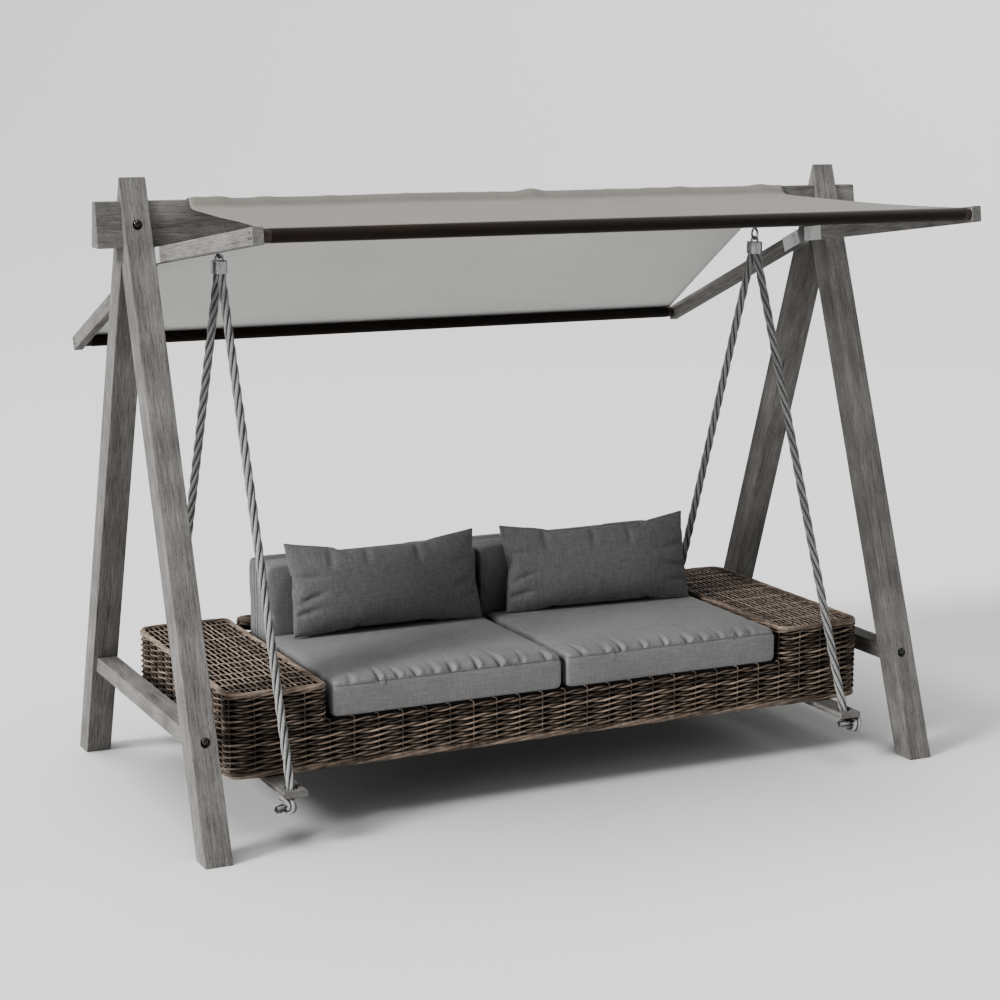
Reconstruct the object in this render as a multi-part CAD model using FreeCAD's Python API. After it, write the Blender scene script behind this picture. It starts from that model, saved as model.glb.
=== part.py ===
import FreeCAD, Part
import math
import os

# Garden swing: two timber A-frames carry a ridge beam, a fixed linen canopy and a woven sofa on ropes.
# Millimetres, +Z up, +X to the right of the photographed front, which faces -Y.
# The origin is on the ground, under the middle of the ridge.

# Driving dimensions of the A-frames
FRAME_WIDTH = 2734.0
APEX_HEIGHT = 2095.0
FOOT_REACH = 735.0
LEG_SECTION = 90.0
TIMBER_EASED_EDGE = 2.5

# Ridge beam, narrower at the top than at the bottom
BEAM_OVERHANG = 84.0
BEAM_TOP_WIDTH = 34.0
BEAM_BOTTOM_WIDTH = 78.0
BEAM_HEIGHT = 148.0
BEAM_BELOW_APEX = 76.0

# Lower braces
BRACE_WIDTH = 72.0
BRACE_HEIGHT = 56.0
BRACE_BOTTOM = 328.0
BRACE_INSET = 15.0

# Frame bolts, their sunk seats and their nuts
BOLT_DIAMETER = 10.0
BOLT_CLEARANCE = 0.3
BOLT_HEAD_DIAMETER = 28.0
BOLT_HEAD_HEIGHT = 9.0
BOLT_SEAT_DIAMETER = 34.0
BOLT_SEAT_DEPTH = 1.0
BOLT_TIP = 4.0
WASHER_DIAMETER = 22.0
WASHER_THICKNESS = 2.5
NUT_ACROSS_FLATS = 17.0
NUT_HEIGHT = 8.0
NUT_CLEARANCE = 0.05
BRACE_BOLT_BITE = 70.0
BRACE_BOLT_OFFSET = 10.0
BARREL_DIAMETER = 16.0
BARREL_LENGTH = 30.0
BARREL_CLEARANCE = 0.2

# Canopy rafters, folded shoes and their bolts
RAFTER_WIDTH = 34.0
RAFTER_DEPTH = 52.0
RAFTER_BELOW_BEAM = 7.0
RAFTER_START = 24.0
RAFTER_END = {"front": 1030.0, "rear": 1055.0}
RAFTER_DIP_DEG = {"front": 7.2, "rear": 21.4}
SHOE_THICKNESS = 3.0
SHOE_LENGTH = 108.0
SHOE_BOLT_DIAMETER = 8.0
SHOE_BOLT_BACK = 27.0
SHOE_BOLT_SPACING = 24.0
SHOE_BOLT_BITE = 50.0
SHOE_BOLT_ACROSS_FLATS = 13.0
SHOE_BOLT_HEAD_HEIGHT = 5.5

# Canopy bars and their end screws
BAR_DIAMETER = 38.0
BAR_INSET = 22.0
BAR_SCREW_DIAMETER = 5.0
BAR_SCREW_HEAD_DIAMETER = 9.0
BAR_SCREW_HEAD_HEIGHT = 2.5
BAR_SCREW_CIRCLE = 22.0
BAR_SCREW_COUNT = 3
BAR_SCREW_BITE = 30.0
SCREW_CLEARANCE = 0.1

# Canopy sheet
SHEET_THICKNESS = 3.0
SHEET_SIDE_GAP = 4.0
SHEET_DRAW_IN = 91.0
SHEET_SAG = {"front": 12.0, "rear": 14.0}
SOFT_GAP = 0.3

# Eye bolts and hanger caps
ROPE_SPREAD = 14.0
EYE_WIRE = 8.0
EYE_RADIUS = 19.0
EYE_COLLAR_DIAMETER = 20.0
EYE_COLLAR_HEIGHT = 4.0
EYE_COLLAR_SINK = 2.0
EYE_NUT_POCKET_DIAMETER = 24.0
EYE_NUT_POCKET_DEPTH = 15.0
BAIL_WIRE = 8.0
BAIL_RADIUS = 13.0
BAIL_LEG = 4.0
HANGER_PLAY = 0.3
CAP_WIDTH = 50.0
CAP_DEPTH = 62.0
CAP_HEIGHT = 44.0
CAP_EDGE = 3.0

# Ropes and stopper knots
ROPE_DIAMETER = 28.0
ROPE_HOLE_DIAMETER = 44.0
ROPE_HOLE_REACH = 640.0
KNOT_COIL_RADIUS = 22.0
KNOT_LOOP_RADIUS = 15.5
KNOT_LOOP_TURN_DEG = 17.0
KNOT_TAIL_LENGTH = 52.0
KNOT_TAIL_DIP_DEG = 12.0

# Carrier slats and their screws
SLAT_TOP = 193.0
SLAT_INSET = 157.0
SLAT_WIDTH = 80.0
SLAT_THICKNESS = 20.0
SLAT_LENGTH = 1370.0
SLAT_SCREW_DIAMETER = 6.0
SLAT_SCREW_HEAD_DIAMETER = 13.0
SLAT_SCREW_HEAD_HEIGHT = 4.0
SLAT_SCREW_SPACING = 44.0
SLAT_SCREW_BITE = 12.0

# Woven sofa
SOFA_SIDE_ROOM = 72.0
SOFA_DEPTH = 1010.0
ARM_WIDTH = 337.0
ARM_HEIGHT = 290.0
DECK_HEIGHT = 167.0
OUTER_CORNER = 60.0
INNER_CORNER = 30.0
WEAVE_THICKNESS = 14.0
WEAVE_GAP = 0.3
BORDER_HEIGHT = 25.0
BORDER_PROUD = 4.0
RIM_DIAMETER = 30.0
RIM_OVERHANG = 4.0
ARM_TOP_THICKNESS = 18.0
LATTICE_MARGIN = 14.0
LATTICE_ROW_PITCH = 24.0
LATTICE_STAKE_PITCH = 78.0
LATTICE_HOLE_WIDTH = 12.0
LATTICE_HOLE_LENGTH = 57.0
BACK_HEIGHT = 305.0
BACK_INSET = 65.0
BACK_SIDE_GAP = 38.0
BACK_PANEL_THICKNESS = 24.0
BACK_RAIL_DIAMETER = 48.0
BACK_RAIL_EDGE = 7.0

# Aluminium tube frame and deck inside the sofa
TUBE = 25.0
TUBE_WALL = 2.0
DECK_SLAT_COUNT = 9
DECK_SLAT_WIDTH = 80.0
DECK_SLAT_THICKNESS = 8.0
DECK_SLAT_MARGIN = 30.0

# Cushions
CUSHION_MIDDLE_GAP = 8.0
SEAT_CUSHION_SIDE_GAP = 18.0
SEAT_CUSHION_FRONT_INSET = 5.0
SEAT_CUSHION_THICKNESS = 113.0
SEAT_CUSHION_CROWN = 22.0
SEAT_CUSHION_CORNER = 46.0
BACK_CUSHION_SIDE_GAP = 46.0
BACK_CUSHION_HEIGHT = 390.0
BACK_CUSHION_THICKNESS = 185.0
BACK_CUSHION_CROWN = 24.0
BACK_CUSHION_CORNER = 56.0
CUSHION_EDGE = 15.0
CUSHION_WAIST = 4.0
CUSHION_DRAW_IN = 7.0

# Lumbar pillows, each with its own lean, turn, roll and place
PILLOW_SHORTER = 81.0
PILLOW_HEIGHT = 345.0
PILLOW_THICKNESS = 116.0
PILLOW_CORNER = 14.0
PILLOW_DRAW_IN = 24.0
PILLOW_START_LIFT = 60.0
PILLOW_START_FORWARD = 80.0
PILLOW_PAST_MIDDLE = {"left": -39.0, "right": 29.0}
PILLOW_LEAN_DEG = {"left": 18.0, "right": 20.0}
PILLOW_TURN_DEG = {"left": 2.4, "right": -4.2}
PILLOW_ROLL_DEG = {"left": 0.7, "right": 1.6}

SIDES = {"left": -1, "right": 1}
ENDS = {"front": -1, "rear": 1}
ORIGIN = FreeCAD.Vector(0, 0, 0)
X_AXIS = FreeCAD.Vector(1, 0, 0)
Y_AXIS = FreeCAD.Vector(0, 1, 0)
Z_AXIS = FreeCAD.Vector(0, 0, 1)

# Values worked out from the driving dimensions: widths and A-frame
SOFA_LENGTH = FRAME_WIDTH - 2 * (LEG_SECTION + SOFA_SIDE_ROOM)
SLAT_SPACING = SOFA_LENGTH - 2 * SLAT_INSET
HANGER_SPACING = SLAT_SPACING - 2 * ROPE_SPREAD
LEG_OUTER = FRAME_WIDTH / 2
LEG_INNER = LEG_OUTER - LEG_SECTION
LEG_SLOPE = FOOT_REACH / APEX_HEIGHT
LEG_RUN = LEG_SECTION * math.hypot(1, LEG_SLOPE)
CROTCH_HEIGHT = (FOOT_REACH - LEG_RUN) / LEG_SLOPE
BEAM_TOP = APEX_HEIGHT - BEAM_BELOW_APEX
BEAM_BOTTOM = BEAM_TOP - BEAM_HEIGHT
BEAM_END = LEG_OUTER + BEAM_OVERHANG
BRACE_OUTER = LEG_OUTER - BRACE_INSET
BRACE_INNER = BRACE_OUTER - BRACE_WIDTH
BRACE_MIDDLE = (BRACE_OUTER + BRACE_INNER) / 2
BRACE_TOP = BRACE_BOTTOM + BRACE_HEIGHT
RIDGE_BOLT_X = (LEG_OUTER + LEG_INNER) / 2
RIDGE_BOLT_Z = (BEAM_TOP + BEAM_BOTTOM) / 2
BRACE_BOLT_Z = (BRACE_TOP + BRACE_BOTTOM) / 2 + BRACE_BOLT_OFFSET
BOLT_HOLE = BOLT_DIAMETER + 2 * BOLT_CLEARANCE

# Values worked out from the driving dimensions: canopy
RAFTER_NODE_Z = BEAM_BOTTOM - RAFTER_BELOW_BEAM - RAFTER_DEPTH / 2
RAFTER_OUTER = LEG_INNER - SHOE_THICKNESS
RAFTER_INNER = RAFTER_OUTER - RAFTER_WIDTH
SHEET_HALF_WIDTH = RAFTER_INNER - SHEET_SIDE_GAP

# Values worked out from the driving dimensions: hanger
HANGER_X = HANGER_SPACING / 2
EYE_CENTRE_Z = BEAM_BOTTOM - EYE_COLLAR_HEIGHT + EYE_COLLAR_SINK - EYE_RADIUS - EYE_WIRE / 2
PIVOT_Z = EYE_CENTRE_Z - EYE_RADIUS + EYE_WIRE / 2 + HANGER_PLAY + BAIL_WIRE / 2
CAP_TOP = PIVOT_Z - BAIL_RADIUS - BAIL_LEG
CAP_BOTTOM = CAP_TOP - CAP_HEIGHT
SLAT_X = SLAT_SPACING / 2
SLAT_BOTTOM = SLAT_TOP - SLAT_THICKNESS
SLAT_INNER = SLAT_X - SLAT_WIDTH / 2
SLAT_OUTER = SLAT_X + SLAT_WIDTH / 2

# Values worked out from the driving dimensions: sofa
ARM_OUTER = SOFA_LENGTH / 2
ARM_INNER = ARM_OUTER - ARM_WIDTH
SOFA_FRONT = SOFA_DEPTH / 2
DECK_TOP = SLAT_TOP + DECK_HEIGHT
ARM_WALL_TOP = SLAT_TOP + ARM_HEIGHT - RIM_DIAMETER - WEAVE_GAP
TUBE_OUTER_Y = SOFA_FRONT - WEAVE_THICKNESS - WEAVE_GAP
TUBE_INNER_Y = TUBE_OUTER_Y - TUBE
ARM_TUBE_OUTER = ARM_OUTER - OUTER_CORNER
ARM_TUBE_INNER = ARM_INNER + INNER_CORNER
RAIL_TOP = SLAT_TOP + TUBE
DECK_RAIL_TOP = DECK_TOP - DECK_SLAT_THICKNESS
BACK_Y = SOFA_FRONT - BACK_INSET
BACK_RAIL_FACE = BACK_Y - BACK_RAIL_DIAMETER / 2
BACK_HALF_LENGTH = ARM_INNER - BACK_SIDE_GAP
BACK_RAIL_Z = SLAT_TOP + BACK_HEIGHT - BACK_RAIL_DIAMETER / 2
SEAT_CUSHION_INNER = CUSHION_MIDDLE_GAP / 2
SEAT_CUSHION_OUTER = ARM_INNER - SEAT_CUSHION_SIDE_GAP
PILLOW_LENGTH = SEAT_CUSHION_OUTER - SEAT_CUSHION_INNER - PILLOW_SHORTER


def vector(x, y, z):
    return FreeCAD.Vector(x, y, z)


def box(x_range, y_range, z_range):
    """A block between two values on each axis."""
    spans = (x_range, y_range, z_range)
    low = vector(*(min(span) for span in spans))
    sizes = [abs(span[1] - span[0]) for span in spans]
    return Part.makeBox(*sizes, low)


def prism(outline, x_range):
    """A closed outline of (y, z) points, drawn out along X."""
    points = [vector(x_range[0], y, z) for y, z in outline]
    face = Part.Face(Part.makePolygon(points + points[:1]))
    return face.extrude(vector(x_range[1] - x_range[0], 0, 0))


def rod(start, end, diameter):
    """A round bar between two points."""
    run = end - start
    return Part.makeCylinder(diameter / 2, run.Length, start, run)


def dome(base, axis, diameter, height):
    """A shallow domed head that stands on its base point."""
    radius = (diameter ** 2 / 4 + height ** 2) / (2 * height)
    ball = Part.makeSphere(radius, base + axis * (height - radius))
    return Part.makeCylinder(diameter / 2, height, base, axis).common(ball)


def hexagon(base, axis, across_flats, height):
    """A six-sided head or nut that stands on its base point."""
    radius = across_flats / math.sqrt(3)
    angles = [math.radians(60 * corner) for corner in range(7)]
    corners = [vector(radius * math.cos(a), radius * math.sin(a), 0) for a in angles]
    solid = Part.Face(Part.makePolygon(corners)).extrude(vector(0, 0, height))
    solid.Placement = FreeCAD.Placement(base, FreeCAD.Rotation(Z_AXIS, axis))
    return solid


def tube(x_range, y_range, z_range):
    """A square tube, open at the two ends of its longest side."""
    spans = (x_range, y_range, z_range)
    lengths = [abs(high - low) for low, high in spans]
    core = []
    for span, length in zip(spans, lengths):
        inset = 0 if length == max(lengths) else TUBE_WALL
        core.append((min(span) + inset, max(span) - inset))
    return box(*spans).cut(box(*core))


def union(shapes):
    return shapes[0].multiFuse(shapes[1:]).removeSplitter()


def eased(timber, shortest):
    """A timber with its long edges planed off; edges up to a given length stay sharp."""
    edges = [edge for edge in timber.Edges if edge.Length > shortest]
    return timber.makeChamfer(TIMBER_EASED_EDGE, edges)


def on_side(shape, side):
    """The right-hand shape as it is, or its mirror on the left."""
    return shape if side > 0 else shape.mirror(ORIGIN, X_AXIS)


def at_end(shape, end):
    """The front shape as it is, or its mirror at the rear."""
    return shape if end < 0 else shape.mirror(ORIGIN, Y_AXIS)


def save(name, *solids):
    shape = solids[0] if len(solids) == 1 else Part.makeCompound(solids)
    shape.exportStep(f"parts/{name}.step")


# A-frames

def leg_front_face(z):
    """Y of the front leg's front face at a height."""
    return -(APEX_HEIGHT - z) * LEG_SLOPE


def bolt_seat(z):
    """Y of the flat seat that is sunk in the leaning face for a level bolt."""
    return leg_front_face(z + BOLT_SEAT_DIAMETER / 2) + BOLT_SEAT_DEPTH


def ridge_beam():
    half_top = BEAM_TOP_WIDTH / 2
    half_bottom = BEAM_BOTTOM_WIDTH / 2
    outline = [
        (-half_bottom, BEAM_BOTTOM),
        (half_bottom, BEAM_BOTTOM),
        (half_top, BEAM_TOP),
        (-half_top, BEAM_TOP),
    ]
    return eased(prism(outline, (-BEAM_END, BEAM_END)), BEAM_END)


def bored_beam(beam):
    """The beam with its eye bolt holes, their nut pockets and the ridge bolt holes."""
    cutters = []
    for side in SIDES.values():
        eye_x = side * HANGER_X
        cutters.append(rod(vector(eye_x, 0, BEAM_BOTTOM), vector(eye_x, 0, BEAM_TOP), BOLT_HOLE))
        pocket_floor = vector(eye_x, 0, BEAM_TOP - EYE_NUT_POCKET_DEPTH)
        cutters.append(rod(pocket_floor, vector(eye_x, 0, BEAM_TOP), EYE_NUT_POCKET_DIAMETER))
        bolt_start = vector(side * RIDGE_BOLT_X, -BEAM_BOTTOM_WIDTH / 2, RIDGE_BOLT_Z)
        bolt_end = vector(bolt_start.x, -bolt_start.y, RIDGE_BOLT_Z)
        cutters.append(rod(bolt_start, bolt_end, BOLT_HOLE))
    return beam.cut(cutters)


def front_leg(beam, side):
    """One leaning leg: foot cut level, top mitred on the centre plane and let round the beam."""
    outline = [
        (-FOOT_REACH, 0),
        (-FOOT_REACH + LEG_RUN, 0),
        (0, CROTCH_HEIGHT),
        (0, APEX_HEIGHT),
    ]
    leg = eased(prism(outline, (LEG_INNER, LEG_OUTER)), APEX_HEIGHT / 2)
    cutters = [beam]
    for x, z in ((RIDGE_BOLT_X, RIDGE_BOLT_Z), (BRACE_MIDDLE, BRACE_BOLT_Z)):
        outside = leg_front_face(z) - LEG_SECTION
        seat = bolt_seat(z)
        cutters.append(rod(vector(x, outside, z), vector(x, seat, z), BOLT_SEAT_DIAMETER))
        cutters.append(rod(vector(x, outside, z), vector(x, seat + 2 * LEG_RUN, z), BOLT_HOLE))
    return on_side(leg.cut(cutters), side)


def brace(side):
    """The level brace, with ends cut to the legs' lean."""
    def end_y(z):
        return leg_front_face(z) + LEG_RUN

    low = end_y(BRACE_BOTTOM)
    high = end_y(BRACE_TOP)
    outline = [(low, BRACE_BOTTOM), (-low, BRACE_BOTTOM), (-high, BRACE_TOP), (high, BRACE_TOP)]
    timber = eased(prism(outline, (BRACE_INNER, BRACE_OUTER)), BRACE_WIDTH + BRACE_HEIGHT)
    cutters = []
    for end in ENDS.values():
        tip = low + BRACE_BOLT_BITE
        bore_start = vector(BRACE_MIDDLE, low, BRACE_BOLT_Z)
        bore = rod(bore_start, vector(BRACE_MIDDLE, tip, BRACE_BOLT_Z), BOLT_HOLE)
        socket_top = BRACE_BOLT_Z + BARREL_LENGTH / 2
        socket = rod(
            vector(BRACE_MIDDLE, tip - BARREL_DIAMETER, BRACE_BOTTOM),
            vector(BRACE_MIDDLE, tip - BARREL_DIAMETER, socket_top),
            BARREL_DIAMETER + 2 * BARREL_CLEARANCE,
        )
        cutters.extend([at_end(bore, end), at_end(socket, end)])
    return on_side(timber.cut(cutters), side)


def ridge_bolt(side):
    """Domed bolt from the front leg through the beam to the rear leg."""
    seat = vector(side * RIDGE_BOLT_X, bolt_seat(RIDGE_BOLT_Z), RIDGE_BOLT_Z)
    tip = vector(seat.x, -seat.y + WASHER_THICKNESS + NUT_HEIGHT + BOLT_TIP, seat.z)
    head = dome(seat, -Y_AXIS, BOLT_HEAD_DIAMETER, BOLT_HEAD_HEIGHT)
    return union([head, rod(seat, tip, BOLT_DIAMETER)])


def washer_and_nut(base, axis):
    """A washer on its seat and a nut on the washer."""
    bore = BOLT_DIAMETER + 2 * NUT_CLEARANCE
    washer = Part.makeCylinder(WASHER_DIAMETER / 2, WASHER_THICKNESS, base, axis)
    nut_base = base + axis * WASHER_THICKNESS
    nut = hexagon(nut_base, axis, NUT_ACROSS_FLATS, NUT_HEIGHT)
    hole = Part.makeCylinder(bore / 2, WASHER_THICKNESS + NUT_HEIGHT, base, axis)
    return [washer.cut(hole), nut.cut(hole)]


def brace_bolt(side, end):
    """Domed bolt from outside the leg into the brace's barrel nut."""
    seat = vector(BRACE_MIDDLE, bolt_seat(BRACE_BOLT_Z), BRACE_BOLT_Z)
    tip = vector(seat.x, leg_front_face(BRACE_BOTTOM) + LEG_RUN + BRACE_BOLT_BITE, seat.z)
    head = dome(seat, -Y_AXIS, BOLT_HEAD_DIAMETER, BOLT_HEAD_HEIGHT)
    bolt = union([head, rod(seat, tip, BOLT_DIAMETER)])
    return on_side(at_end(bolt, end), side)


def barrel_nut(side, end):
    """Upright barrel nut in the brace, cross bored for its bolt."""
    y = leg_front_face(BRACE_BOTTOM) + LEG_RUN + BRACE_BOLT_BITE - BARREL_DIAMETER
    half = BARREL_LENGTH / 2
    barrel = rod(
        vector(BRACE_MIDDLE, y, BRACE_BOLT_Z - half),
        vector(BRACE_MIDDLE, y, BRACE_BOLT_Z + half),
        BARREL_DIAMETER,
    )
    bore = rod(
        vector(BRACE_MIDDLE, y - BARREL_DIAMETER, BRACE_BOLT_Z),
        vector(BRACE_MIDDLE, y + BARREL_DIAMETER, BRACE_BOLT_Z),
        BOLT_DIAMETER + 2 * NUT_CLEARANCE,
    )
    return on_side(at_end(barrel.cut(bore), end), side)


# Canopy rafters, shoes and bars

def dip(shape, end_name):
    """Tip a level rafter piece about the node under the ridge."""
    tipped = shape.copy()
    tipped.rotate(ORIGIN, X_AXIS, -RAFTER_DIP_DEG[end_name])
    tipped.translate(vector(0, 0, RAFTER_NODE_Z))
    return tipped


def rafter_span(end_name, near, far):
    """Y range along a level rafter, between two distances from the node."""
    end = ENDS[end_name]
    return (end * near, end * far)


def shoe_bolt_places(end_name):
    """Y and Z of a shoe's two bolts on the level rafter."""
    y = ENDS[end_name] * (RAFTER_START + SHOE_BOLT_BACK)
    half = SHOE_BOLT_SPACING / 2
    return [(y, -half), (y, half)]


def shoe_bolt_holes(end_name):
    holes = []
    diameter = SHOE_BOLT_DIAMETER + 2 * BOLT_CLEARANCE
    for y, z in shoe_bolt_places(end_name):
        start = vector(RAFTER_INNER - SHOE_THICKNESS, y, z)
        holes.append(rod(start, vector(LEG_INNER + SHOE_BOLT_BITE, y, z), diameter))
    return holes


def bar_screw_places(end_name):
    """Y and Z of the screws round a bar's end on the level rafter."""
    middle = ENDS[end_name] * (RAFTER_END[end_name] - BAR_INSET)
    places = []
    for screw in range(BAR_SCREW_COUNT):
        angle = math.pi / 2 + 2 * math.pi * screw / BAR_SCREW_COUNT
        radius = BAR_SCREW_CIRCLE / 2
        places.append((middle + radius * math.cos(angle), radius * math.sin(angle)))
    return places


def bar_screw_holes(end_name):
    holes = []
    for y, z in bar_screw_places(end_name):
        start = vector(RAFTER_OUTER, y, z)
        end = vector(RAFTER_INNER - BAR_SCREW_BITE, y, z)
        holes.append(rod(start, end, BAR_SCREW_DIAMETER + 2 * SCREW_CLEARANCE))
    return holes


def rafter(side, end_name):
    half = RAFTER_DEPTH / 2
    span = rafter_span(end_name, RAFTER_START, RAFTER_END[end_name])
    timber = eased(box((RAFTER_INNER, RAFTER_OUTER), span, (-half, half)), RAFTER_WIDTH + RAFTER_DEPTH)
    timber = timber.cut(shoe_bolt_holes(end_name) + bar_screw_holes(end_name))
    return on_side(dip(timber, end_name), side)


def rafter_shoe(side, end_name):
    """Folded strap round the rafter's inner end: two cheeks and an end web."""
    half = RAFTER_DEPTH / 2
    near = RAFTER_START - SHOE_THICKNESS
    far = near + SHOE_LENGTH
    cheeks = (RAFTER_INNER - SHOE_THICKNESS, LEG_INNER)
    block = box(cheeks, rafter_span(end_name, near, far), (-half, half))
    channel = box((RAFTER_INNER, RAFTER_OUTER), rafter_span(end_name, RAFTER_START, far), (-half, half))
    return on_side(dip(block.cut([channel] + shoe_bolt_holes(end_name)), end_name), side)


def shoe_bolts(side, end_name):
    bolts = []
    for y, z in shoe_bolt_places(end_name):
        seat = vector(RAFTER_INNER - SHOE_THICKNESS, y, z)
        head = hexagon(seat, -X_AXIS, SHOE_BOLT_ACROSS_FLATS, SHOE_BOLT_HEAD_HEIGHT)
        shank = rod(seat, vector(LEG_INNER + SHOE_BOLT_BITE, y, z), SHOE_BOLT_DIAMETER)
        bolts.append(on_side(dip(union([head, shank]), end_name), side))
    return bolts


def bar_centre(end_name):
    """Y and Z of a canopy bar."""
    reach = RAFTER_END[end_name] - BAR_INSET
    angle = math.radians(RAFTER_DIP_DEG[end_name])
    end = ENDS[end_name]
    return end * reach * math.cos(angle), RAFTER_NODE_Z - end * reach * math.sin(angle)


def canopy_bar(end_name):
    y, z = bar_centre(end_name)
    bar = rod(vector(-RAFTER_INNER, y, z), vector(RAFTER_INNER, y, z), BAR_DIAMETER)
    holes = [dip(hole, end_name) for hole in bar_screw_holes(end_name)]
    return bar.cut(holes + [on_side(hole, -1) for hole in holes])


def bar_screws(side, end_name):
    screws = []
    for y, z in bar_screw_places(end_name):
        seat = vector(RAFTER_OUTER, y, z)
        head = dome(seat, X_AXIS, BAR_SCREW_HEAD_DIAMETER, BAR_SCREW_HEAD_HEIGHT)
        shank = rod(seat, vector(RAFTER_INNER - BAR_SCREW_BITE, y, z), BAR_SCREW_DIAMETER)
        screws.append(on_side(dip(union([head, shank]), end_name), side))
    return screws


# Canopy sheet

def sagging_edge(start, end, sag):
    """A shallow arc between two (y, z) points that hangs below its chord."""
    middle = vector(0, (start[0] + end[0]) / 2, (start[1] + end[1]) / 2 - sag)
    return Part.Arc(vector(0, *start), middle, vector(0, *end)).toShape()


def sheet_stations(lift):
    """The sheet's (y, z) points at a distance above what it lies on: front bar, ridge edges, rear bar."""
    front_y, front_z = bar_centre("front")
    rear_y, rear_z = bar_centre("rear")
    reach = BAR_DIAMETER / 2 + lift
    half = BEAM_TOP_WIDTH / 2
    fall = math.atan2(BEAM_TOP - rear_z, rear_y)
    return [
        (front_y, front_z + reach),
        (-half, BEAM_TOP + lift),
        (half + lift * math.tan(fall / 2), BEAM_TOP + lift),
        (rear_y + reach * math.sin(fall), rear_z + reach * math.cos(fall)),
    ]


def canopy_sheet():
    """One sheet over the ridge, slack between ridge and bars, its side edges cut to a hollow curve."""
    low = sheet_stations(SOFT_GAP)
    high = sheet_stations(SOFT_GAP + SHEET_THICKNESS)
    edges = []
    for points in (low, high):
        edges.append(sagging_edge(points[0], points[1], SHEET_SAG["front"]))
        edges.append(Part.makeLine(vector(0, *points[1]), vector(0, *points[2])))
        edges.append(sagging_edge(points[2], points[3], SHEET_SAG["rear"]))
    for corner in (0, 3):
        edges.append(Part.makeLine(vector(0, *low[corner]), vector(0, *high[corner])))
    section = Part.Face(Part.Wire(Part.__sortEdges__(edges)))
    section.translate(vector(-SHEET_HALF_WIDTH, 0, 0))
    cloth = section.extrude(vector(2 * SHEET_HALF_WIDTH, 0, 0))
    front_y = low[0][0] - BAR_DIAMETER
    rear_y = low[3][0] + BAR_DIAMETER
    waist = SHEET_HALF_WIDTH - SHEET_DRAW_IN
    floor = RAFTER_NODE_Z - RAFTER_END["rear"]
    corners = {}
    for side in SIDES.values():
        for y in (front_y, rear_y):
            corners[side, y] = vector(side * SHEET_HALF_WIDTH, y, floor)
    outline = [
        Part.Arc(corners[1, front_y], vector(waist, 0, floor), corners[1, rear_y]).toShape(),
        Part.makeLine(corners[1, rear_y], corners[-1, rear_y]),
        Part.Arc(corners[-1, rear_y], vector(-waist, 0, floor), corners[-1, front_y]).toShape(),
        Part.makeLine(corners[-1, front_y], corners[1, front_y]),
    ]
    plan = Part.Face(Part.Wire(outline)).extrude(vector(0, 0, APEX_HEIGHT - floor))
    return cloth.common(plan)


# Hangers and ropes

def eye_bolt(side):
    """A ring under the beam, its collar and its shank up to the nut pocket."""
    x = side * HANGER_X
    ring = Part.makeTorus(EYE_RADIUS, EYE_WIRE / 2, vector(x, 0, EYE_CENTRE_Z), X_AXIS)
    collar_base = vector(x, 0, BEAM_BOTTOM - EYE_COLLAR_HEIGHT)
    collar = rod(collar_base, vector(x, 0, BEAM_BOTTOM), EYE_COLLAR_DIAMETER)
    shank = rod(collar_base, vector(x, 0, BEAM_TOP - BOLT_TIP / 2), BOLT_DIAMETER)
    return union([ring, collar, shank])


def hanger_cap(side):
    """An oval sleeve for two rope ends, with a wire bail over its top."""
    x = side * HANGER_X
    lobe = (CAP_DEPTH - CAP_WIDTH) / 2
    half = CAP_WIDTH / 2
    left = [vector(x - half, -lobe, CAP_BOTTOM), vector(x - half, lobe, CAP_BOTTOM)]
    right = [vector(x + half, -lobe, CAP_BOTTOM), vector(x + half, lobe, CAP_BOTTOM)]
    outline = [
        Part.makeLine(right[0], right[1]),
        Part.Arc(right[1], vector(x, lobe + half, CAP_BOTTOM), left[1]).toShape(),
        Part.makeLine(left[1], left[0]),
        Part.Arc(left[0], vector(x, -lobe - half, CAP_BOTTOM), right[0]).toShape(),
    ]
    sleeve = Part.Face(Part.Wire(outline)).extrude(vector(0, 0, CAP_HEIGHT))
    top_edges = [edge for edge in sleeve.Edges if edge.BoundBox.ZMin > CAP_TOP - CAP_EDGE]
    sleeve = sleeve.makeFillet(CAP_EDGE, top_edges)
    root = CAP_TOP - BAIL_WIRE
    start = vector(x - BAIL_RADIUS, 0, root)
    spring = [vector(x - BAIL_RADIUS, 0, CAP_TOP + BAIL_LEG), vector(x + BAIL_RADIUS, 0, CAP_TOP + BAIL_LEG)]
    path = Part.Wire([
        Part.makeLine(start, spring[0]),
        Part.Arc(spring[0], vector(x, 0, PIVOT_Z), spring[1]).toShape(),
        Part.makeLine(spring[1], vector(x + BAIL_RADIUS, 0, root)),
    ])
    section = Part.Wire(Part.makeCircle(BAIL_WIRE / 2, start, Z_AXIS))
    return union([sleeve, path.makePipeShell([section], True, False)])


def rope_run():
    """Top and bottom points of the right front rope's axis and its direction."""
    lean = math.atan2(ROPE_HOLE_REACH, CAP_BOTTOM - SLAT_TOP)
    top = vector(HANGER_X, -ROPE_DIAMETER / 2 / math.cos(lean) - SOFT_GAP, CAP_BOTTOM)
    hole = vector(SLAT_X, -ROPE_HOLE_REACH, SLAT_TOP - SLAT_THICKNESS / 2)
    direction = hole - top
    direction.normalize()
    return top, hole, direction


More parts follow.
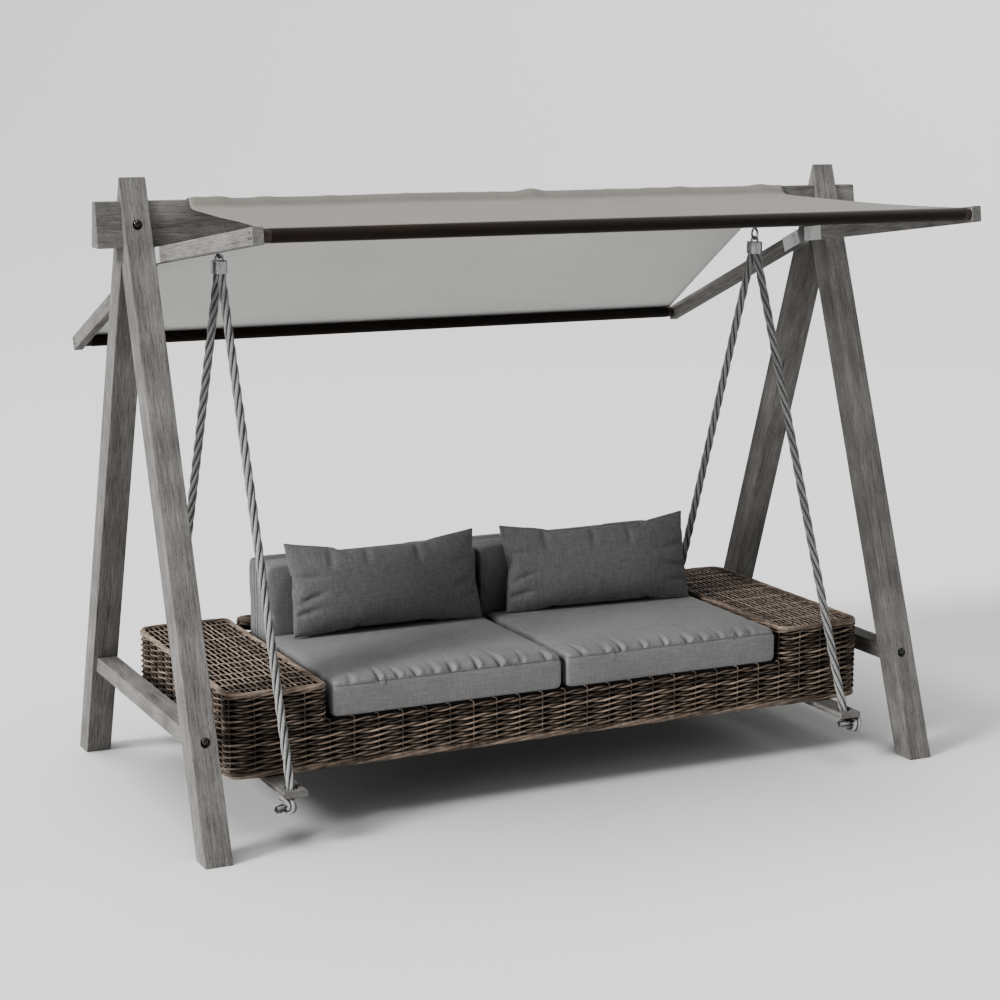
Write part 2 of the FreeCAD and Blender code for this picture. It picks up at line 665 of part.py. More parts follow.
def rope(side, end):
    """A taut rope from the hanger's sleeve through the slat; its stopper knot's tail always points left."""
    top, hole, direction = rope_run()
    radius = ROPE_DIAMETER / 2
    below = (hole.z - SLAT_BOTTOM + ROPE_DIAMETER) / -direction.z
    foot = hole + direction * below
    run = rod(top - direction * ROPE_DIAMETER, foot, ROPE_DIAMETER)
    above = (CAP_BOTTOM, CAP_BOTTOM + 2 * ROPE_DIAMETER)
    run = run.cut(box((0, 2 * HANGER_X), (-ROPE_HOLE_REACH, ROPE_HOLE_REACH), above))
    coil_centre = vector(foot.x, foot.y, SLAT_BOTTOM - SOFT_GAP - radius)
    coil = Part.makeTorus(KNOT_COIL_RADIUS, radius, coil_centre, Z_AXIS)
    loop_centre = vector(foot.x, foot.y, SLAT_BOTTOM - 2 * SOFT_GAP - radius - KNOT_LOOP_RADIUS)
    turn = math.radians(KNOT_LOOP_TURN_DEG)
    loop = Part.makeTorus(KNOT_LOOP_RADIUS, radius, loop_centre, vector(math.sin(turn), math.cos(turn), 0))
    tail_dip = math.radians(KNOT_TAIL_DIP_DEG)
    tail_run = vector(-side * math.cos(tail_dip), 0, -math.sin(tail_dip)) * KNOT_TAIL_LENGTH
    tail = rod(loop_centre, loop_centre + tail_run, ROPE_DIAMETER)
    return on_side(at_end(coil.fuse(loop).fuse(run).fuse(tail), end), side)


def slat_screw_places():
    """X and Y of the right carrier slat's screws, under the sofa's front and rear rails."""
    half = SLAT_SCREW_SPACING / 2
    y = (TUBE_OUTER_Y + TUBE_INNER_Y) / 2
    return [(SLAT_X + dx, end * y) for dx in (-half, half) for end in ENDS.values()]


def slat_screw_holes():
    diameter = SLAT_SCREW_DIAMETER + 2 * SCREW_CLEARANCE
    top = SLAT_TOP + SLAT_SCREW_BITE
    return [rod(vector(x, y, SLAT_BOTTOM), vector(x, y, top), diameter) for x, y in slat_screw_places()]


def carrier_slat(side):
    half = SLAT_LENGTH / 2
    board = eased(box((SLAT_INNER, SLAT_OUTER), (-half, half), (SLAT_BOTTOM, SLAT_TOP)), SLAT_WIDTH)
    cutters = slat_screw_holes()
    for end in ENDS.values():
        low = vector(SLAT_X, end * ROPE_HOLE_REACH, SLAT_BOTTOM)
        cutters.append(rod(low, vector(low.x, low.y, SLAT_TOP), ROPE_HOLE_DIAMETER))
    return on_side(board.cut(cutters), side)


def slat_screws(side):
    screws = []
    for x, y in slat_screw_places():
        seat = vector(x, y, SLAT_BOTTOM)
        head = dome(seat, -Z_AXIS, SLAT_SCREW_HEAD_DIAMETER, SLAT_SCREW_HEAD_HEIGHT)
        shank = rod(seat, vector(x, y, SLAT_TOP + SLAT_SCREW_BITE), SLAT_SCREW_DIAMETER)
        screws.append(on_side(union([head, shank]), side))
    return screws


# Tube frame and deck inside the sofa

def long_rails():
    """Front and rear tubes on the slats, and the shorter ones that carry the deck."""
    rails = []
    for end in ENDS.values():
        y_range = (end * TUBE_INNER_Y, end * TUBE_OUTER_Y)
        base = tube((-ARM_TUBE_OUTER, ARM_TUBE_OUTER), y_range, (SLAT_TOP, RAIL_TOP))
        holes = slat_screw_holes()
        rails.append(base.cut(holes + [on_side(hole, -1) for hole in holes]))
        half = ARM_INNER - WEAVE_GAP
        rails.append(tube((-half, half), y_range, (DECK_RAIL_TOP - TUBE, DECK_RAIL_TOP)))
    return rails


def arm_tube_columns():
    """X ranges of the right arm's outer and inner tubes."""
    return [(ARM_TUBE_OUTER - TUBE, ARM_TUBE_OUTER), (ARM_TUBE_INNER, ARM_TUBE_INNER + TUBE)]


def cross_tubes():
    """Tubes from the front rail to the rear rail under each arm."""
    tubes = []
    for x_range in arm_tube_columns():
        cross = tube(x_range, (-TUBE_INNER_Y, TUBE_INNER_Y), (SLAT_TOP, RAIL_TOP))
        tubes.extend(on_side(cross, side) for side in SIDES.values())
    return tubes


def posts():
    """Uprights from the base rails to the arm rings and to the deck rails."""
    uprights = []
    deck_corner = ARM_INNER - WEAVE_GAP
    deck_columns = [(deck_corner - TUBE, deck_corner), (TUBE_WALL, TUBE_WALL + TUBE)]
    ring_bottom = ARM_WALL_TOP - TUBE
    deck_bottom = DECK_RAIL_TOP - TUBE
    spans = [(x_range, ring_bottom) for x_range in arm_tube_columns()]
    spans.extend((x_range, deck_bottom) for x_range in deck_columns)
    for x_range, top in spans:
        post = tube(x_range, (-TUBE_OUTER_Y, -TUBE_INNER_Y), (RAIL_TOP, top))
        for end in ENDS.values():
            uprights.extend(on_side(at_end(post, end), side) for side in SIDES.values())
    return uprights


def arm_ring(side):
    """Four tubes that carry one arm's top and rim."""
    z_range = (ARM_WALL_TOP - TUBE, ARM_WALL_TOP)
    tubes = [tube(x_range, (-TUBE_INNER_Y, TUBE_INNER_Y), z_range) for x_range in arm_tube_columns()]
    for end in ENDS.values():
        y_range = (end * TUBE_INNER_Y, end * TUBE_OUTER_Y)
        tubes.append(tube((ARM_TUBE_INNER, ARM_TUBE_OUTER), y_range, z_range))
    return [on_side(member, side) for member in tubes]


def deck_slats():
    """Boards from the front deck rail to the rear one, evenly spaced."""
    boards = []
    first = -ARM_INNER + DECK_SLAT_MARGIN
    step = (2 * -first - DECK_SLAT_WIDTH) / (DECK_SLAT_COUNT - 1)
    for board in range(DECK_SLAT_COUNT):
        x = first + board * step
        boards.append(
            box((x, x + DECK_SLAT_WIDTH), (-TUBE_OUTER_Y, TUBE_OUTER_Y), (DECK_RAIL_TOP, DECK_TOP))
        )
    return boards


# Woven shell

def arm_outline(inset, z):
    """The right arm's plan, round at its corners, drawn in by an inset."""
    low_x = ARM_INNER + inset
    high_x = ARM_OUTER - inset
    half_y = SOFA_FRONT - inset
    outer = OUTER_CORNER - inset
    inner = INNER_CORNER - inset
    turns = [
        (high_x, half_y, outer),
        (low_x, half_y, inner),
        (low_x, -half_y, inner),
        (high_x, -half_y, outer),
    ]
    edges = []
    previous = vector(high_x, -half_y + outer, z)
    for quarter, (x, y, radius) in enumerate(turns):
        toward = 1 if x == high_x else -1
        up = 1 if y > 0 else -1
        side_point = vector(x, y - up * radius, z)
        end_point = vector(x - toward * radius, y, z)
        start, finish = (side_point, end_point) if quarter % 2 == 0 else (end_point, side_point)
        diagonal = radius * (1 - math.sqrt(0.5))
        middle = vector(x - toward * diagonal, y - up * diagonal, z)
        edges.append(Part.makeLine(previous, start))
        edges.append(Part.Arc(start, middle, finish).toShape())
        previous = finish
    return Part.Wire(edges)


def arm_slab(inset, z_range):
    return Part.Face(arm_outline(inset, z_range[0])).extrude(vector(0, 0, z_range[1] - z_range[0]))


def arm_walls():
    """The right arm's woven wall with the proud roll at its foot, notched over the rails.

    Below the deck its inner corners run on straight, flush with the front and rear bands.
    """
    wall = arm_slab(0, (SLAT_TOP, ARM_WALL_TOP)).cut(arm_slab(WEAVE_THICKNESS, (SLAT_TOP, ARM_WALL_TOP)))
    roll = arm_slab(-BORDER_PROUD, (SLAT_TOP, SLAT_TOP + BORDER_HEIGHT))
    roll = roll.cut(arm_slab(WEAVE_THICKNESS, (SLAT_TOP, SLAT_TOP + BORDER_HEIGHT)))
    beside_deck = box((0, ARM_INNER), (-SOFA_DEPTH, SOFA_DEPTH), (SLAT_TOP, ARM_WALL_TOP))
    notch = box(
        (0, ARM_TUBE_OUTER),
        (-TUBE_OUTER_Y - WEAVE_GAP, -TUBE_INNER_Y + WEAVE_GAP),
        (SLAT_TOP, RAIL_TOP + WEAVE_GAP),
    )
    joins = []
    for proud, top in ((0, DECK_TOP), (BORDER_PROUD, SLAT_TOP + BORDER_HEIGHT)):
        y_range = (-SOFA_FRONT - proud, -SOFA_FRONT + WEAVE_THICKNESS)
        join = box((ARM_INNER, ARM_INNER + INNER_CORNER), y_range, (SLAT_TOP, top))
        joins.extend(at_end(join, end) for end in ENDS.values())
    return union([wall, roll] + joins).cut([beside_deck] + [at_end(notch, end) for end in ENDS.values()])


def inner_panel_zone():
    """The straight stretch of the arm wall beside the seat."""
    half = SOFA_FRONT - INNER_CORNER
    return box((0, ARM_INNER + WEAVE_THICKNESS), (-half, half), (SLAT_TOP, ARM_WALL_TOP))


def lattice_holes():
    """Open gaps of the arm top, between its rows of weave and its cross stakes."""
    margin = RIM_DIAMETER - RIM_OVERHANG + LATTICE_MARGIN
    rows = int((ARM_WIDTH - 2 * margin) // LATTICE_ROW_PITCH)
    stakes = int((SOFA_DEPTH - 2 * margin) // LATTICE_STAKE_PITCH)
    first_x = (ARM_INNER + ARM_OUTER) / 2 - (rows - 1) * LATTICE_ROW_PITCH / 2
    first_y = -(stakes - 1) * LATTICE_STAKE_PITCH / 2
    half_width = LATTICE_HOLE_WIDTH / 2
    half_length = LATTICE_HOLE_LENGTH / 2
    z_range = (ARM_WALL_TOP, ARM_WALL_TOP + ARM_TOP_THICKNESS)
    holes = []
    for row in range(rows):
        x = first_x + row * LATTICE_ROW_PITCH
        for stake in range(stakes):
            y = first_y + stake * LATTICE_STAKE_PITCH
            holes.append(box((x - half_width, x + half_width), (y - half_length, y + half_length), z_range))
    return holes


def arm_top(side):
    """Open-woven panel inside the rim, carried by the arm's tube ring."""
    inset = RIM_DIAMETER - RIM_OVERHANG + WEAVE_GAP
    panel = arm_slab(inset, (ARM_WALL_TOP, ARM_WALL_TOP + ARM_TOP_THICKNESS))
    return on_side(panel.cut(Part.makeCompound(lattice_holes())), side)


def arm_rim(side):
    """Rolled rim round the top of the arm."""
    radius = RIM_DIAMETER / 2
    path = arm_outline(radius - RIM_OVERHANG, ARM_WALL_TOP + WEAVE_GAP + radius)
    start = path.Edges[0].Vertexes[0].Point
    section = Part.Wire(Part.makeCircle(radius, start, Y_AXIS))
    return on_side(path.makePipeShell([section], True, False), side)


def band_outline(top):
    """Section of a woven band, with the proud roll at its foot, drawn for the rear."""
    roll_top = SLAT_TOP + BORDER_HEIGHT
    return [
        (SOFA_FRONT - WEAVE_THICKNESS, SLAT_TOP),
        (SOFA_FRONT + BORDER_PROUD, SLAT_TOP),
        (SOFA_FRONT + BORDER_PROUD, roll_top - BORDER_PROUD),
        (SOFA_FRONT, roll_top),
        (SOFA_FRONT, top),
    ]


def front_band():
    """Woven band under the front edge of the seat cushions."""
    outline = band_outline(DECK_TOP) + [(SOFA_FRONT - WEAVE_THICKNESS, DECK_TOP)]
    return prism([(-y, z) for y, z in outline], (-ARM_INNER, ARM_INNER))


def rear_band():
    """Woven band at the rear, folded forward over the deck as a ledge behind the back panel."""
    ledge_front = BACK_Y + BACK_PANEL_THICKNESS / 2 + WEAVE_GAP
    outline = band_outline(DECK_TOP + WEAVE_THICKNESS) + [
        (ledge_front, DECK_TOP + WEAVE_THICKNESS),
        (ledge_front, DECK_TOP),
        (SOFA_FRONT - WEAVE_THICKNESS, DECK_TOP),
    ]
    return prism(outline, (-ARM_INNER, ARM_INNER))


def back_rail_core(clearance, overrun):
    half = BACK_HALF_LENGTH + overrun
    diameter = BACK_RAIL_DIAMETER + 2 * clearance
    return rod(vector(-half, BACK_Y, BACK_RAIL_Z), vector(half, BACK_Y, BACK_RAIL_Z), diameter)


def back_panel():
    """Low woven back that stands on the deck and is hollowed along its top for the rail."""
    half = BACK_PANEL_THICKNESS / 2
    length = (-BACK_HALF_LENGTH, BACK_HALF_LENGTH)
    panel = box(length, (BACK_Y - half, BACK_Y + half), (DECK_TOP, BACK_RAIL_Z))
    return panel.cut(back_rail_core(WEAVE_GAP, BACK_SIDE_GAP))


def back_rail():
    """Rolled top rail of the back, rounded at its two ends."""
    rail = back_rail_core(0, 0)
    ends = [edge for edge in rail.Edges if edge.BoundBox.XLength < BACK_RAIL_EDGE]
    return rail.makeFillet(BACK_RAIL_EDGE, ends)


# Cushions

def cushion_section(half_width, half_depth, corner, draw_in, level):
    """A rectangle with hollow sides and round corners, at one level."""
    def side_arc(start, middle, end):
        return Part.Arc(vector(*start, level), vector(*middle, level), vector(*end, level)).toShape()

    run_x = half_width - corner
    run_y = half_depth - corner
    cut = corner * (1 - math.sqrt(0.5))
    edges = []
    for turn in (1, -1):
        edges.append(side_arc(
            (turn * half_width, -turn * run_y),
            (turn * (half_width - draw_in), 0),
            (turn * half_width, turn * run_y),
        ))
        edges.append(side_arc(
            (turn * half_width, turn * run_y),
            (turn * (half_width - cut), turn * (half_depth - cut)),
            (turn * run_x, turn * half_depth),
        ))
        edges.append(side_arc(
            (turn * run_x, turn * half_depth),
            (0, turn * (half_depth - draw_in)),
            (-turn * run_x, turn * half_depth),
        ))
        edges.append(side_arc(
            (-turn * run_x, turn * half_depth),
            (-turn * (half_width - cut), turn * (half_depth - cut)),
            (-turn * half_width, turn * run_y),
        ))
    return Part.Wire(edges)


def soft_block(width, depth, corner, draw_in, levels):
    """A loft through hollow-sided sections, each drawn in by its own inset."""
    sections = []
    for level, inset in levels:
        share = 1 - inset / (min(width, depth) / 2)
        sections.append(
            cushion_section(width / 2 - inset, depth / 2 - inset, corner * share, draw_in * share, level)
        )
    return Part.makeLoft(sections, True, True)


def crown_levels(half, thickness, crown):
    """Levels of a crowned face, from its seam to its middle."""
    levels = []
    for share in (0.12, 0.3, 0.52, 0.78):
        inset = CUSHION_EDGE + share * (half - CUSHION_EDGE)
        levels.append((thickness + crown * (1 - (1 - share) ** 2), inset))
    return levels


def boxed_levels(half, thickness, low_crown, high_crown):
    """Levels of a boxed cushion: crowned faces, turned edges and a drawn-in waist."""
    turned = 0.3 * CUSHION_EDGE
    low = []
    if low_crown:
        low = [(-level, inset) for level, inset in reversed(crown_levels(half, 0, low_crown))]
    side = [
        (0, CUSHION_EDGE),
        (turned, turned),
        (CUSHION_EDGE, 0),
        (thickness / 2, CUSHION_WAIST),
        (thickness - CUSHION_EDGE, 0),
        (thickness - turned, turned),
        (thickness, CUSHION_EDGE),
    ]
    return low + side + crown_levels(half, thickness, high_crown)


def back_cushion_depth():
    """Y range of the back cushions, crowns and all, in front of the back rail."""
    rear = BACK_RAIL_FACE - SOFT_GAP
    crowned = 1 - (1 - 0.78) ** 2
    front = rear - BACK_CUSHION_THICKNESS - 2 * crowned * BACK_CUSHION_CROWN
    return front, rear


def seat_cushion(side):
    front = -SOFA_FRONT + SEAT_CUSHION_FRONT_INSET
    rear = back_cushion_depth()[0] - SOFT_GAP
    width = SEAT_CUSHION_OUTER - SEAT_CUSHION_INNER
    middle = (SEAT_CUSHION_OUTER + SEAT_CUSHION_INNER) / 2
    depth = rear - front
    levels = boxed_levels(min(width, depth) / 2, SEAT_CUSHION_THICKNESS, 0, SEAT_CUSHION_CROWN)
    block = soft_block(width, depth, SEAT_CUSHION_CORNER, CUSHION_DRAW_IN, levels)
    block.translate(vector(middle, (front + rear) / 2, DECK_TOP + SOFT_GAP))
    return on_side(block, side)


def back_cushion(side):
    """A boxed cushion on edge: its thickness runs from the back panel forward."""
    low_x = CUSHION_MIDDLE_GAP / 2
    high_x = ARM_INNER - BACK_CUSHION_SIDE_GAP
    width = high_x - low_x
    levels = boxed_levels(
        BACK_CUSHION_HEIGHT / 2, BACK_CUSHION_THICKNESS, BACK_CUSHION_CROWN, BACK_CUSHION_CROWN
    )
    block = soft_block(width, BACK_CUSHION_HEIGHT, BACK_CUSHION_CORNER, CUSHION_DRAW_IN, levels)
    block.rotate(ORIGIN, X_AXIS, 90)
    rear = back_cushion_depth()[1]
    rise = DECK_TOP + SOFT_GAP + BACK_CUSHION_HEIGHT / 2
    block.translate(vector((low_x + high_x) / 2, rear - block.BoundBox.YMax, rise))
    return on_side(block, side)


def pillow_levels():
    """Levels of a knife-edged pillow, fat in the middle and thin at its seam."""
    half = PILLOW_THICKNESS / 2
    profile = ((0.06, 0.0), (0.34, 0.07), (0.62, 0.19), (0.84, 0.36), (1.0, 0.62))
    upper = [(half * rise, PILLOW_HEIGHT / 2 * inset) for rise, inset in profile]
    return [(-level, inset) for level, inset in reversed(upper)] + upper


def slide(shape, direction, support):
    """Move a loose piece along a direction until it lies a soft gap from its support."""
    steps = 40
    for _ in range(steps):
        room = shape.distToShape(support)[0] - SOFT_GAP
        if abs(room) < SOFT_GAP / 10:
            break
        shape.translate(direction * room)


def pillow(side_name, seat, back):
    """A lumbar pillow, dropped on the seat cushion and leant on the back cushion."""
    middle = (SEAT_CUSHION_INNER + SEAT_CUSHION_OUTER) / 2 + PILLOW_PAST_MIDDLE[side_name]
    block = soft_block(PILLOW_LENGTH, PILLOW_HEIGHT, PILLOW_CORNER, PILLOW_DRAW_IN, pillow_levels())
    block.rotate(ORIGIN, Z_AXIS, PILLOW_ROLL_DEG[side_name])
    block.rotate(ORIGIN, X_AXIS, 90 - PILLOW_LEAN_DEG[side_name])
    block.rotate(ORIGIN, Z_AXIS, PILLOW_TURN_DEG[side_name])
    block.translate(vector(
        SIDES[side_name] * middle,
        back.BoundBox.YMin - block.BoundBox.YMax - PILLOW_START_FORWARD,
        seat.BoundBox.ZMax - block.BoundBox.ZMin + PILLOW_START_LIFT,
    ))
    slide(block, -Z_AXIS, seat)
    slide(block, Y_AXIS, back)
    slide(block, -Z_AXIS, seat)
    return block


def build_frame():
    beam = ridge_beam()
    save("ridge_beam", bored_beam(beam))
    nuts = []
    for side_name, side in SIDES.items():
        holes = [dip(hole, name) for name in ENDS for hole in shoe_bolt_holes(name)]
        holes = [on_side(hole, side) for hole in holes]
        leg = front_leg(beam, side)
        for end_name, end in ENDS.items():
            save(f"leg_{end_name}_{side_name}", at_end(leg, end).cut(holes))
            save(f"rafter_{end_name}_{side_name}", rafter(side, end_name))
            save(f"rafter_shoe_{end_name}_{side_name}", rafter_shoe(side, end_name))
        save(f"brace_{side_name}", brace(side))
        save(f"eye_bolt_{side_name}", eye_bolt(side))
        rear_seat = vector(side * RIDGE_BOLT_X, -bolt_seat(RIDGE_BOLT_Z), RIDGE_BOLT_Z)
        nuts.extend(washer_and_nut(rear_seat, Y_AXIS))
        pocket_floor = vector(side * HANGER_X, 0, BEAM_TOP - EYE_NUT_POCKET_DEPTH)
        nuts.extend(washer_and_nut(pocket_floor, Z_AXIS))
    save("nuts_and_washers", *nuts)
    pairs = [(side, end_name) for side in SIDES.values() for end_name in ENDS]
    save("ridge_bolts", *(ridge_bolt(side) for side in SIDES.values()))
    save("brace_bolts", *(brace_bolt(side, ENDS[name]) for side, name in pairs))
    save("brace_barrel_nuts", *(barrel_nut(side, ENDS[name]) for side, name in pairs))
    save("rafter_shoe_bolts", *(bolt for side, name in pairs for bolt in shoe_bolts(side, name)))
    save("canopy_bar_screws", *(screw for side, name in pairs for screw in bar_screws(side, name)))
    for end_name in ENDS:
        save(f"canopy_bar_{end_name}", canopy_bar(end_name))
    save("canopy_sheet", canopy_sheet())


def build_suspension():
    for side_name, side in SIDES.items():
        save(f"hanger_cap_{side_name}", hanger_cap(side))
        save(f"carrier_slat_{side_name}", carrier_slat(side))
        for end_name, end in ENDS.items():
            save(f"rope_{end_name}_{side_name}", rope(side, end))
    save("slat_screws", *(screw for side in SIDES.values() for screw in slat_screws(side)))


def build_sofa():
    save("sofa_rails", *long_rails())
    save("sofa_cross_tubes", *cross_tubes())
    save("sofa_posts", *posts())
    save("deck_slats", *deck_slats())
    walls = arm_walls()
    for side_name, side in SIDES.items():
        save(f"arm_ring_{side_name}", *arm_ring(side))
        save(f"arm_shell_{side_name}", on_side(walls.cut(inner_panel_zone()), side))
        save(f"arm_inner_panel_{side_name}", on_side(walls.common(inner_panel_zone()), side))
        save(f"arm_top_{side_name}", arm_top(side))
        save(f"arm_rim_{side_name}", arm_rim(side))
    save("wicker_band_front", front_band())
    save("wicker_band_rear", rear_band())
    save("back_panel", back_panel())
    save("back_rail", back_rail())


def build_cushions():
    for side_name, side in SIDES.items():
        seat = seat_cushion(side)
        back = back_cushion(side)
        save(f"seat_cushion_{side_name}", seat)
        save(f"back_cushion_{side_name}", back)
        save(f"pillow_{side_name}", pillow(side_name, seat, back))


def main():
    os.makedirs("parts", exist_ok=True)
    build_frame()
    build_suspension()
    build_sofa()
    build_cushions()


main()
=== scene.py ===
"""The looks of a garden swing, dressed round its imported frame: timber, canopy, ropes, woven sofa and cushions."""

import functools
import logging
import math
import random
from dataclasses import dataclass
from enum import Enum
from typing import Callable, Iterable, Sequence

import bmesh
import bpy
import numpy as np
from mathutils import Matrix, Vector, noise
from mathutils.bvhtree import BVHTree


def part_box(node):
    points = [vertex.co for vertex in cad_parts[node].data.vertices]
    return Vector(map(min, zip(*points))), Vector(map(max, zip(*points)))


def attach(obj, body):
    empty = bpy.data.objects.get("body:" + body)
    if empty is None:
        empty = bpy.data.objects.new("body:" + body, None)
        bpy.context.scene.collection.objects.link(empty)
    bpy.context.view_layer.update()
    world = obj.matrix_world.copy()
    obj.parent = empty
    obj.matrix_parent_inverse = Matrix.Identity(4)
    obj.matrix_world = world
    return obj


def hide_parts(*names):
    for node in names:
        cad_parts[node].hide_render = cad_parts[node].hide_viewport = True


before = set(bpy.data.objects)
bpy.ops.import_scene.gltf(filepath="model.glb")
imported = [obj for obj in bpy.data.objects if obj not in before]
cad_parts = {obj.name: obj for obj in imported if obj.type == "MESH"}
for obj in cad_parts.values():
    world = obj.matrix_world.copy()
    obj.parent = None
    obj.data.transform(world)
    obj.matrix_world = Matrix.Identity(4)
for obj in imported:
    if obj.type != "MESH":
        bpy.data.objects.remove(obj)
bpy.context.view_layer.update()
SIDES = {"left": -1, "right": 1}
ENDS = {"front": -1, "rear": 1}
UP = Vector((0.0, 0.0, 1.0))
log = logging.getLogger("garden_swing")

Colour = tuple[float, float, float]
Triple = tuple[float, float, float]
Socket = bpy.types.NodeSocket


# Shader maths

class Wire:
    """A number that varies over a surface; arithmetic on it adds Math nodes."""

    def __init__(self, graph: "Graph", socket: Socket) -> None:
        """Keeps the graph and the socket that gives the number."""
        self.graph = graph
        self.socket = socket

    def math(self, operation: str, first: "Wire | float", second: "Wire | float" = 0.0) -> "Wire":
        """Adds one Math node.

        Args:
            operation: the Math node's operation.
            first: its first number.
            second: its second number.

        Returns:
            The node's result.
        """
        node = self.graph.node("ShaderNodeMath", {"operation": operation}, {0: first, 1: second})
        return Wire(self.graph, node.outputs[0])

    def __add__(self, other: "Wire | float") -> "Wire":
        """The sum."""
        return self.math("ADD", self, other)

    def __sub__(self, other: "Wire | float") -> "Wire":
        """The difference."""
        return self.math("SUBTRACT", self, other)

    def __rsub__(self, other: float) -> "Wire":
        """The difference, from a plain number."""
        return self.math("SUBTRACT", other, self)

    def __mul__(self, other: "Wire | float") -> "Wire":
        """The product."""
        return self.math("MULTIPLY", self, other)

    __radd__ = __add__
    __rmul__ = __mul__

    def sine(self) -> "Wire":
        """The sine of the number, in radians."""
        return self.math("SINE", self)

    def step(self, low: float, high: float) -> "Wire":
        """A smooth rise from 0 at low to 1 at high."""
        inputs = {"Value": self, "From Min": low, "From Max": high}
        node = self.graph.node("ShaderNodeMapRange", {"interpolation_type": "SMOOTHSTEP"}, inputs)
        return Wire(self.graph, node.outputs[0])


class Graph:
    """The node tree of one material."""

    def __init__(self, name: str) -> None:
        """Starts an empty tree."""
        self.material = bpy.data.materials.new(name)
        self.material.use_nodes = True
        self.tree = self.material.node_tree
        self.tree.nodes.clear()

    def node(self, kind: str, settings: dict | None = None, inputs: dict | None = None) -> bpy.types.Node:
        """Adds any node.

        Args:
            kind: the node's type.
            settings: its own settings, set first; stops fill a colour ramp.
            inputs: a value, a Wire or a socket for each of its input sockets.

        Returns:
            The node.
        """
        node = self.tree.nodes.new(kind)
        for key, value in (settings or {}).items():
            if key == "stops":
                self.fill_ramp(node.color_ramp, value)
            else:
                setattr(node, key, value)
        for key, value in (inputs or {}).items():
            if isinstance(value, Wire):
                value = value.socket
            if isinstance(value, Socket):
                self.tree.links.new(value, node.inputs[key])
            else:
                node.inputs[key].default_value = value
        return node

    @staticmethod
    def fill_ramp(ramp: bpy.types.ColorRamp, stops: Sequence[tuple[float, Colour]]) -> None:
        """Gives a ramp its stops."""
        while len(ramp.elements) < len(stops):
            ramp.elements.new(1.0)
        for element, (position, colour) in zip(ramp.elements, stops):
            element.position = position
            element.color = (*colour, 1.0)

    def place(self) -> Socket:
        """Where a point is on the object."""
        return self.node("ShaderNodeTexCoord").outputs["Object"]

    def attribute(self, name: str) -> Wire:
        """A number kept on the mesh."""
        return Wire(self, self.node("ShaderNodeAttribute", {"attribute_name": name}).outputs["Fac"])

    def mapped(self, vector: Socket, scale: Triple = (1, 1, 1), rotation: Triple = (0, 0, 0)) -> Socket:
        """A place that is stretched, then turned."""
        inputs = {"Vector": vector, "Scale": scale, "Rotation": rotation}
        return self.node("ShaderNodeMapping", None, inputs).outputs[0]

    def noise(self, vector: Socket, scale: float, detail: float = 3.0, distortion: float = 0.0) -> Wire:
        """Cloudy noise from 0 to 1."""
        inputs = {"Vector": vector, "Scale": scale, "Detail": detail, "Distortion": distortion}
        return Wire(self, self.node("ShaderNodeTexNoise", None, inputs).outputs["Fac"])

    def ramp(self, value: Wire, stops: Sequence[tuple[float, Colour]]) -> Socket:
        """A colour read from a ramp."""
        return self.node("ShaderNodeValToRGB", {"stops": stops}, {0: value}).outputs["Color"]

    def mix(self, share: Wire, first: Socket | Colour, second: Socket | Colour) -> Socket:
        """A colour between two, by a share."""
        ends = [value if isinstance(value, Socket) else (*value, 1.0) for value in (first, second)]
        node = self.node("ShaderNodeMix", {"data_type": "RGBA"}, {0: share, 6: ends[0], 7: ends[1]})
        return node.outputs[2]

    def bump(self, height: Wire, distance: float) -> Socket:
        """Normals of a relief that is distance metres deep."""
        return self.node("ShaderNodeBump", None, {"Height": height, "Distance": distance}).outputs[0]

    def surface(self, varying: dict, fixed: dict) -> bpy.types.Material:
        """Ends the tree with its shader.

        Args:
            varying: sockets and Wires for the shader's inputs.
            fixed: plain values for the shader's inputs.

        Returns:
            The finished material.
        """
        shader = self.node("ShaderNodeBsdfPrincipled", None, {**fixed, **varying})
        self.node("ShaderNodeOutputMaterial", None, {"Surface": shader.outputs[0]})
        return self.material


# Finishes

@dataclass(frozen=True)
class Finish:
    """A surface finish that makes its own material."""

    name: str

    def material(self) -> bpy.types.Material:
        """The finish's material, made at its first use."""
        return bpy.data.materials.get(self.name) or self.paint(Graph(self.name))

    def paint(self, graph: Graph) -> bpy.types.Material:
        """Builds the material's nodes."""
        raise NotImplementedError


class Grain(Enum):
    """The axis that a timber's grain follows."""

    ALONG_X = 0
    ALONG_Y = 1
    ALONG_Z = 2

    def stretch(self, across: float, along: float) -> Triple:
        """Scales of a pattern that is drawn out along the grain."""
        scales = [across] * 3
        scales[self.value] = along
        return tuple(scales)


